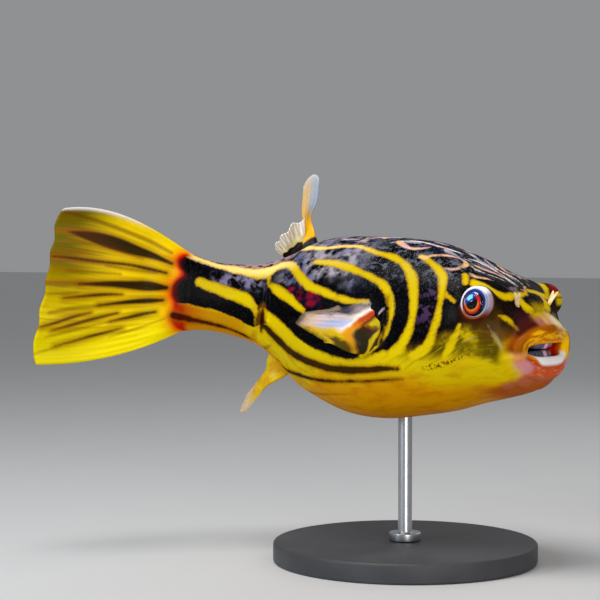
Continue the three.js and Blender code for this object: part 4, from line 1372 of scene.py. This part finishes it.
# %% The dorsal fin
DORSAL = {"root": 3, "thickness": 5, "tip": 0.9}
BLADE = {
    "place": 137.3, "base": 7, "length": 38.5, "corner": 3, "neck": 0.4, "pinch": 0.66, "lean": (9.5, 6.5),
    "edge": [(0, 0.145), (1, 0.13)],
}
FAN = {
    "place": 143, "base": 9, "length": (17, 10), "lean": (7, 42), "flop": (4, 42), "scallop": 0.8,
    "edge": [(0, 0.36), (1, 0.44)],
}


def dorsal_blade(u, v):
    place = BLADE["place"] + BLADE["base"] * v + 0 * u
    length = BLADE["length"] - BLADE["corner"] * (np.abs(2 * v - 1)**3 + 0.5 * ease(0.4, 1, v))
    neck = np.exp(-((u - BLADE["neck"]) / 0.17)**2)
    offset = (v - 0.8) * BLADE["base"]
    narrowing = offset * (BLADE["pinch"] * neck - 0.2 * ease(0.45, 0.7, u))
    lean = np.radians(mix(*BLADE["lean"], ease(0.4, 1, u)))
    root = along(BACK, place) - DORSAL["root"]
    ahead = narrowing - length * u * np.sin(lean)
    return on_body(place, -0.45 * neck * offset, root + length * u * np.cos(lean), ahead)


def dorsal_fan(u, v):
    place = FAN["place"] + FAN["base"] * v + 0 * u
    length = mix(*FAN["length"], v * v) + FAN["scallop"] * np.cos(v * 2 * np.pi * 3.5)
    lean = np.radians(mix(*FAN["lean"], v))
    flop = np.radians(mix(*FAN["flop"], ease(0, 0.7, v)))
    rise = length * u * np.cos(lean)
    root = along(BACK, place) - DORSAL["root"]
    return on_body(place, -rise * np.sin(flop), root + rise * np.cos(flop), -length * u * np.sin(lean))


def dorsal_thickness(u, v):
    return mix(DORSAL["thickness"], DORSAL["tip"], ease(0, 0.35, u)) + 0 * v


def blade_finish():
    f, reach, across, past, ray = start_fin("dorsal_blade", "reach", "across", "past", "ray")
    grey = f.ease(reach, 0.42, 0.56) * f.fade(across + (f.noise(0.006) - 0.5) * 0.3, 0.2, 0.85)
    colour = f.coats(
        (240, 176, 8),
        (f.ease(reach, 0.3, 0.9), (216, 180, 124)),
        (grey, (158, 168, 184)),
        (f.ease(reach, 0.86, 1) * 0.6, (206, 200, 200)),
        (f.fade(past, -0.01, 0.03), (24, 4, 8)),
    )
    return finish_fin(f, colour, ray)


def fan_finish():
    f, reach, past, ray = start_fin("dorsal_fan", "reach", "past", "ray")
    colour = f.coats(
        (196, 184, 172),
        (ray, (252, 242, 222)),
        (f.fade(reach, 0.3, 0.75), (216, 202, 110)),
        (f.fade(past, -0.01, 0.04), (22, 5, 8)),
    )
    return finish_fin(f, colour, ray)


blade = fin_shell("dorsal_blade", dorsal_blade, dorsal_thickness, 2, BLADE["edge"], relief=0.2, wave=0.1)
fan = fin_shell("dorsal_fan", dorsal_fan, dorsal_thickness, 4, FAN["edge"], wave=0.7)
dress(blade, blade_finish(), "fin", "dorsal_fin")
dress(fan, fan_finish(), "fin", "dorsal_fin")

# %% [markdown]
# ### The fin below the tail
#
# This fin sculls like the one above it, and here it is caught turned nearly edge on. It
# could be modelled flat and then twisted. Twisting inside the formula keeps its root
# straight in the belly, so that is how it is made.

# %% The anal fin
ANAL = {
    "place": 142.5, "base": 12, "length": 35, "corner": 5, "root": 3, "lean": 31, "twist": 78,
    "narrow": 0.76, "thickness": 4, "tip": 0.9, "edge": [(0, 0.2), (1, 0.2)],
}


def anal_surface(u, v):
    place = ANAL["place"] + ANAL["base"] * v + 0 * u
    length = ANAL["length"] - ANAL["corner"] * (1 + ease(0.5, 1, v) - ease(0, 0.5, v))
    twist = np.radians(ANAL["twist"]) * ease(0, 0.5, u)
    lean = np.radians(ANAL["lean"])
    offset = (v - 0.6) * ANAL["base"]
    width = 1 - ANAL["narrow"] * ease(0, 0.58, u)
    height = ANAL["root"] - along(BELLY, place) - length * u * np.cos(lean)
    ahead = offset * (1 - np.cos(twist) * width) - length * u * np.sin(lean)
    return on_body(place, offset * np.sin(twist) * width, height, ahead)


def anal_thickness(u, v):
    return mix(ANAL["thickness"], ANAL["tip"], ease(0, 0.5, u)) + 0 * v


def anal_finish():
    f, reach, ray = start_fin("anal_fin", "reach", "ray")
    tip = f.blend(ray, (190, 160, 100), (240, 222, 196))
    colour = f.coats(
        (228, 190, 2),
        (f.ease(f.noise(0.006), 0.4, 0.6), (214, 164, 2)),
        (f.ease(reach, 0.4, 0.6) * (1 - ray) * 0.3, (150, 110, 10)),
        (f.ease(reach, 0.6, 0.9), tip),
    )
    return finish_fin(f, colour, ray)


anal = fin_shell("anal_fin_rays", anal_surface, anal_thickness, 3, ANAL["edge"], relief=0.5, wave=0.1)
dress(anal, anal_finish(), "fin", "anal_fin")

# %% [markdown]
# ### The fins behind the gills
#
# A puffer rows with these two. Each is a fleshy lobe with a raised rim, and past the rim
# a fan of rays in a web that is clear in places. Both come from one formula with two sets
# of sizes: the right one is folded back and twisted, and the left one is spread open.

# %% The pectoral fins
PECTORAL = {"place": 79, "highest": 12, "base": 24, "root": 3, "thickness": 7, "tip": 0.9, "rim": 1.3}
POSES = {
    "right": {"side": -1, "length": 41, "lower": 21, "upper": 13, "flare": 34, "twist": 55, "spread": 0.2},
    "left": {"side": 1, "length": 38, "lower": 9, "upper": 4, "flare": 38, "twist": 14, "spread": 0.55},
}
LOBE_EDGE = [
    (0, 0.03), (0.18, 0.13), (0.34, 0.23), (0.49, 0.33), (0.6, 0.4), (0.76, 0.45), (0.94, 0.46), (1, 0.44),
]


def half_width(place, height):
    sag = -along(SAG, place)
    top, bottom, side = outline(place)
    reach = np.where(height > sag, top - sag, sag - bottom)
    return side * np.sqrt(1 - ((height - sag) / reach)**2)


def pectoral_surface(pose):
    def surface(u, v):
        place = PECTORAL["place"] + 2 * np.abs(v - 0.5) + 0 * u
        height = PECTORAL["highest"] - PECTORAL["base"] * v + 0 * u
        length = pose["length"] - pose["lower"] * ease(0.5, 1, v) - pose["upper"] * (1 - ease(0, 0.3, v))
        twist = np.radians(pose["twist"]) * ease(0.15, 0.9, u)
        flare = np.radians(pose["flare"])
        offset = (0.5 - v) * PECTORAL["base"]
        grow = 1 + pose["spread"] * u
        out = half_width(place, height) - PECTORAL["root"]
        out = out + length * u * np.sin(flare) - offset * grow * np.sin(twist)
        up = height + offset * (grow * np.cos(twist) - 1)
        return on_body(place, pose["side"] * out, up, -length * u * np.cos(flare))
    return surface


def pectoral_thickness(u, v):
    """A fleshy lobe up to its slanting edge, which is a raised rim, and thin rays beyond."""
    lobe = PECTORAL["thickness"] * np.sqrt(np.maximum(1 - (2 * v - 1)**2, 0.05))
    past = u - along(LOBE_EDGE, v)
    rim = PECTORAL["rim"] * np.exp(-(past / 0.06)**2) * ease(0, 0.12, v) * ease(0, 0.12, 1 - v)
    return mix(lobe, PECTORAL["tip"], ease(-0.3, 0.12, past)) + rim


def pectoral_finish():
    f, reach, across, past, ray = start_fin("pectoral_fin", "reach", "across", "past", "ray")
    blur = (f.noise(0.004, detail=3) - 0.5) * 0.2
    low = across + blur
    past = past + blur * 0.4
    stripe = low - reach * 2.1
    lobe = f.coats(
        (90, 14, 4),
        (f.ease(low, 0.45, 0.6), (40, 32, 4)),
        (f.patch(low, 0.26, 0.46, 0.05) * f.fade(past, -0.16, -0.08), (190, 170, 6)),
        (f.ease(stripe, 0.54, 0.62), (64, 38, 3)),
        (f.patch(stripe, 0.43, 0.57, 0.05), (220, 188, 6)),
    )
    rim = f.blend(f.ease(low, 0.3, 0.6), (186, 62, 3), (226, 150, 4))
    colour = f.coats(
        (236, 226, 214),
        (f.ease(past, 0.06, 0.26), (208, 186, 186)),
        (f.patch(past, 0.08, 0.36, 0.05) * f.patch(low, 0.4, 0.56, 0.05), (176, 186, 226)),
        (f.ease(reach, 0.7, 0.9), (210, 180, 150)),
        (f.patch(reach, 0.42, 0.62, 0.06) * f.patch(low, 0.14, 0.28, 0.05), (60, 56, 100)),
        (f.ease(low, 0.55, 0.66), (216, 180, 4)),
        (f.patch(low, 0.76, 1.1, 0.07) * f.patch(reach, 0.46, 0.8, 0.06) * 0.9, (46, 30, 2)),
        ((1 - ray) * f.ease(past, 0.1, 0.3) * 0.2, (120, 100, 90)),
        (f.fade(past, -0.05, 0.0), lobe),
        (f.patch(past, -0.07, 0.045, 0.035) * (1 - f.ease(low, 0.72, 0.95) * 0.7), rim),
    )
    web = f.ease(past, 0.06, 0.2) * f.fade(low, 0.24, 0.4) * 0.8
    window = f.patch(reach, 0.56, 0.84, 0.06) * f.fade(low, 0.2, 0.34)
    clear = web.highest(f.ease(reach + blur, 0.8, 1.02)).highest(window)
    f.set("Alpha", 1 - clear * (1 - ray * 0.15))
    return finish_fin(f, colour, ray)


PECTORAL_FINISH = pectoral_finish()
for word, pose in POSES.items():
    surface = pectoral_surface(pose)
    rays = fin_shell("pectoral_rays_" + word, surface, pectoral_thickness, 6, LOBE_EDGE, wave=0.4)
    dress(rays, PECTORAL_FINISH, "fin", "pectoral_fin_" + word)

# %% [markdown]
# ## Beak and nostrils
#
# A puffer's four teeth are fused into a beak, a plate above and a plate below, each with a
# line down its middle. Only their edges show between the lips, so each plate is a squashed
# ball with its front bent to the jaw's curve. Each nostril is a small soft tentacle that
# forks into two leaves, which are rolled grids like the fins.

# %% The beak
BEAK = {"place": 5.5, "edge": 0.25, "half_width": 11, "half_height": 7, "half_depth": 2.4, "curve": 0.03}
SEAM = {"depth": 0.5, "width": 0.35}


def beak_plate(name, updown):
    bm = bmesh.new()
    bmesh.ops.create_uvsphere(bm, u_segments=64, v_segments=32, radius=1)
    middle = updown * (BEAK["edge"] + BEAK["half_height"])
    across = bm.verts.layers.float.new("left")
    for vertex in bm.verts:
        x, z = vertex.co.x, vertex.co.z
        squarer = math.hypot(x, z) / max(0.001, (x**4 + z**4)**0.25)
        left = x * squarer * BEAK["half_width"]
        vertex[across] = left
        seam = SEAM["depth"] * math.exp(-(left / SEAM["width"])**2)
        up = middle + z * squarer * (BEAK["half_height"] - seam)
        place = BEAK["place"] + BEAK["curve"] * left**2 + vertex.co.y * (BEAK["half_depth"] - seam)
        vertex.co = on_body(place, left, up) * MM
    return finish_shell(name, bm)


def beak_finish():
    f = Finish("beak_enamel", roughness=0.22, coat=0.5, coat_roughness=0.05)
    growth = f.node("Mapping", {}, {"Vector": f.point, "Scale": (1, 1, 0.15)})
    lines = f.noise(0.0007, detail=3, point=growth)
    # Painted shade and highlight: the enamel is painted slate-dark as shade inside the mouth, and the pale
    # pink line down the middle is a painted highlight where the ridge catches the light.
    f.set("Base Color", f.coats(
        (52, 58, 76),
        (f.ease(lines, 0.35, 0.65), (88, 90, 110)),
        (f.patch(f.read("left"), -1.6, 0.8, 0.6), (232, 176, 208)),
    ))
    f.set("Normal", f.bump(lines, 0.0001, 0.4))
    return f.material


BEAK_FINISH = beak_finish()
for word, updown in (("upper", 1), ("lower", -1)):
    dress(beak_plate("beak_plate_" + word, updown), BEAK_FINISH, "beak", "beak_" + word)

# %% The nostrils
NOSTRIL = {"place": 14.5, "out": 12, "height": 6.5, "root": 3, "outward": 0.45, "forward": 0.2, "fork": 0.16}
LEAF = {"stalk": 1.1, "half_width": 0.95, "half_thickness": 0.42, "steps": 25}


def body_top(place, out):
    sag = -along(SAG, place)
    power = along(ROUNDNESS, place)
    across = (out / along(SIDE, place))**(1 / power)
    return sag + (along(BACK, place) - sag) * (1 - across**2)**(power / 2)


def round_tip(t, start):
    """1 up to `start`, and then round down to nothing at 1."""
    return np.sqrt(1 - ease(start, 1, t)**2 + 1e-9)


def leaf_grid(side, fork):
    """A flat leaf on a stalk, as rings from its root to its tip."""
    t = np.linspace(0, 1, LEAF["steps"])[:, None]
    turn = np.linspace(0, 2 * np.pi, LEAF["steps"])[None]
    place, out, root = NOSTRIL["place"], NOSTRIL["out"], NOSTRIL["root"]
    length = root + NOSTRIL["height"]
    rise = length * t / math.hypot(1, NOSTRIL["outward"], NOSTRIL["forward"])
    bend = fork * NOSTRIL["fork"] * length * t**2
    wide = mix(LEAF["stalk"], LEAF["half_width"], ease(0.3, 0.75, t)) * round_tip(t, 0.6)
    thin = mix(LEAF["stalk"], LEAF["half_thickness"], ease(0.2, 0.6, t)) * round_tip(t, 0.75)
    wide[0] = thin[0] = 0
    left = side * (out + NOSTRIL["outward"] * rise) + thin * np.sin(turn)
    ahead = NOSTRIL["forward"] * rise + bend + wide * np.cos(turn)
    return on_body(place, left, body_top(place, out) - root + rise, ahead)


def make_nostril(name, side):
    whole = bmesh.new()
    for fork in (1, -1):
        leaf = rolled_grid(leaf_grid(side, fork), {})
        part = bpy.data.meshes.new("leaf")
        leaf.to_mesh(part)
        leaf.free()
        whole.from_mesh(part)
        bpy.data.meshes.remove(part)
    return finish_shell(name, whole)


def nostril_finish():
    f = Finish("nostril_flesh", roughness=0.4, coat=0.4)
    blotch = f.ease(f.noise(0.003), 0.4, 0.6)
    f.set("Base Color", f.blend(blotch, (240, 222, 176), (236, 190, 120)))
    f.set("Normal", f.bump(f.noise(0.0008), 0.0002, 0.4))
    return f.material


NOSTRIL_FINISH = nostril_finish()
for word, side in SIDES.items():
    dress(make_nostril("nostril_tentacle_" + word, side), NOSTRIL_FINISH, "skin", "nostril_" + word)

# %% [markdown]
# ## The stand
#
# The stand is plain, as in a museum case: a turned steel foot with a charcoal powder coat
# and a bright brushed rod that runs up into the belly. Both are turned shapes, so each is
# a short profile spun round the upright, with its sharp edges bevelled.

# %% Turn the stand
def turned(name, profile, bevel, steps=128):
    bm = bmesh.new()
    points = [bm.verts.new((r * MM, 0, z * MM)) for r, z in profile]
    edges = [bm.edges.new(pair) for pair in zip(points, points[1:])]
    spin = {"cent": (0, 0, 0), "axis": (0, 0, 1), "angle": 2 * math.pi, "steps": steps, "use_merge": True}
    bmesh.ops.spin(bm, geom=points + edges, **spin)
    bmesh.ops.remove_doubles(bm, verts=bm.verts, dist=0.001 * MM)
    bmesh.ops.recalc_face_normals(bm, faces=bm.faces)
    sharp = [e for e in bm.edges if e.is_manifold and e.calc_face_angle() > math.radians(40)]
    bmesh.ops.bevel(bm, geom=sharp, affect="EDGES", offset=bevel * MM, segments=4, profile=0.5, material=-1)
    return finish_shell(name, bm)


def powder_coat():
    f = Finish("charcoal_powder_coat", roughness=0.5)
    grain = f.noise(0.0009, detail=3)
    wear = f.noise(0.03, detail=4)
    f.set("Base Color", f.blend(f.ease(wear, 0.4, 0.7), (52, 53, 57), (64, 65, 69)))
    f.set("Roughness", 0.42 + wear * 0.22)
    f.set("Normal", f.bump(grain, 0.00025, 0.55))
    return f.material


def brushed_steel():
    f = Finish("brushed_steel", roughness=0.3)
    stretched = f.node("Mapping", {}, {"Vector": f.point, "Scale": (0.1, 0.1, 1)})
    brushing = f.noise(0.0004, detail=3, point=stretched)
    f.set("Base Color", f.blend(brushing, (176, 178, 182), (206, 207, 210)))
    f.set("Metallic", 1.0)
    f.set("Roughness", 0.22 + brushing * 0.2)
    f.set("Normal", f.bump(brushing, 0.00006, 0.4))
    return f.material


_, foot_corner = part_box("stand_foot")
collar_corner, rod_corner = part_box("stand_rod")
foot_radius, foot_top = foot_corner.x / MM, foot_corner.z / MM
collar_radius, collar_low = rod_corner.x / MM, collar_corner.z / MM
collar_top = collar_low + 4
rod_radius = 3.5
rod_top = rod_corner.z / MM + 2     # a little further into the belly than the solid
foot = turned("stand_foot_turned", [(0, 0), (foot_radius, 0), (foot_radius, foot_top), (0, foot_top)], 1.5)
rod = turned("stand_rod_turned", [
    (0, collar_low), (collar_radius, collar_low), (collar_radius, collar_top),
    (rod_radius, collar_top), (rod_radius, rod_top), (0, rod_top),
], 0.5)
dress(foot, powder_coat(), "stand_paint", "stand_foot")
dress(rod, brushed_steel(), "stand_steel", "stand_rod")
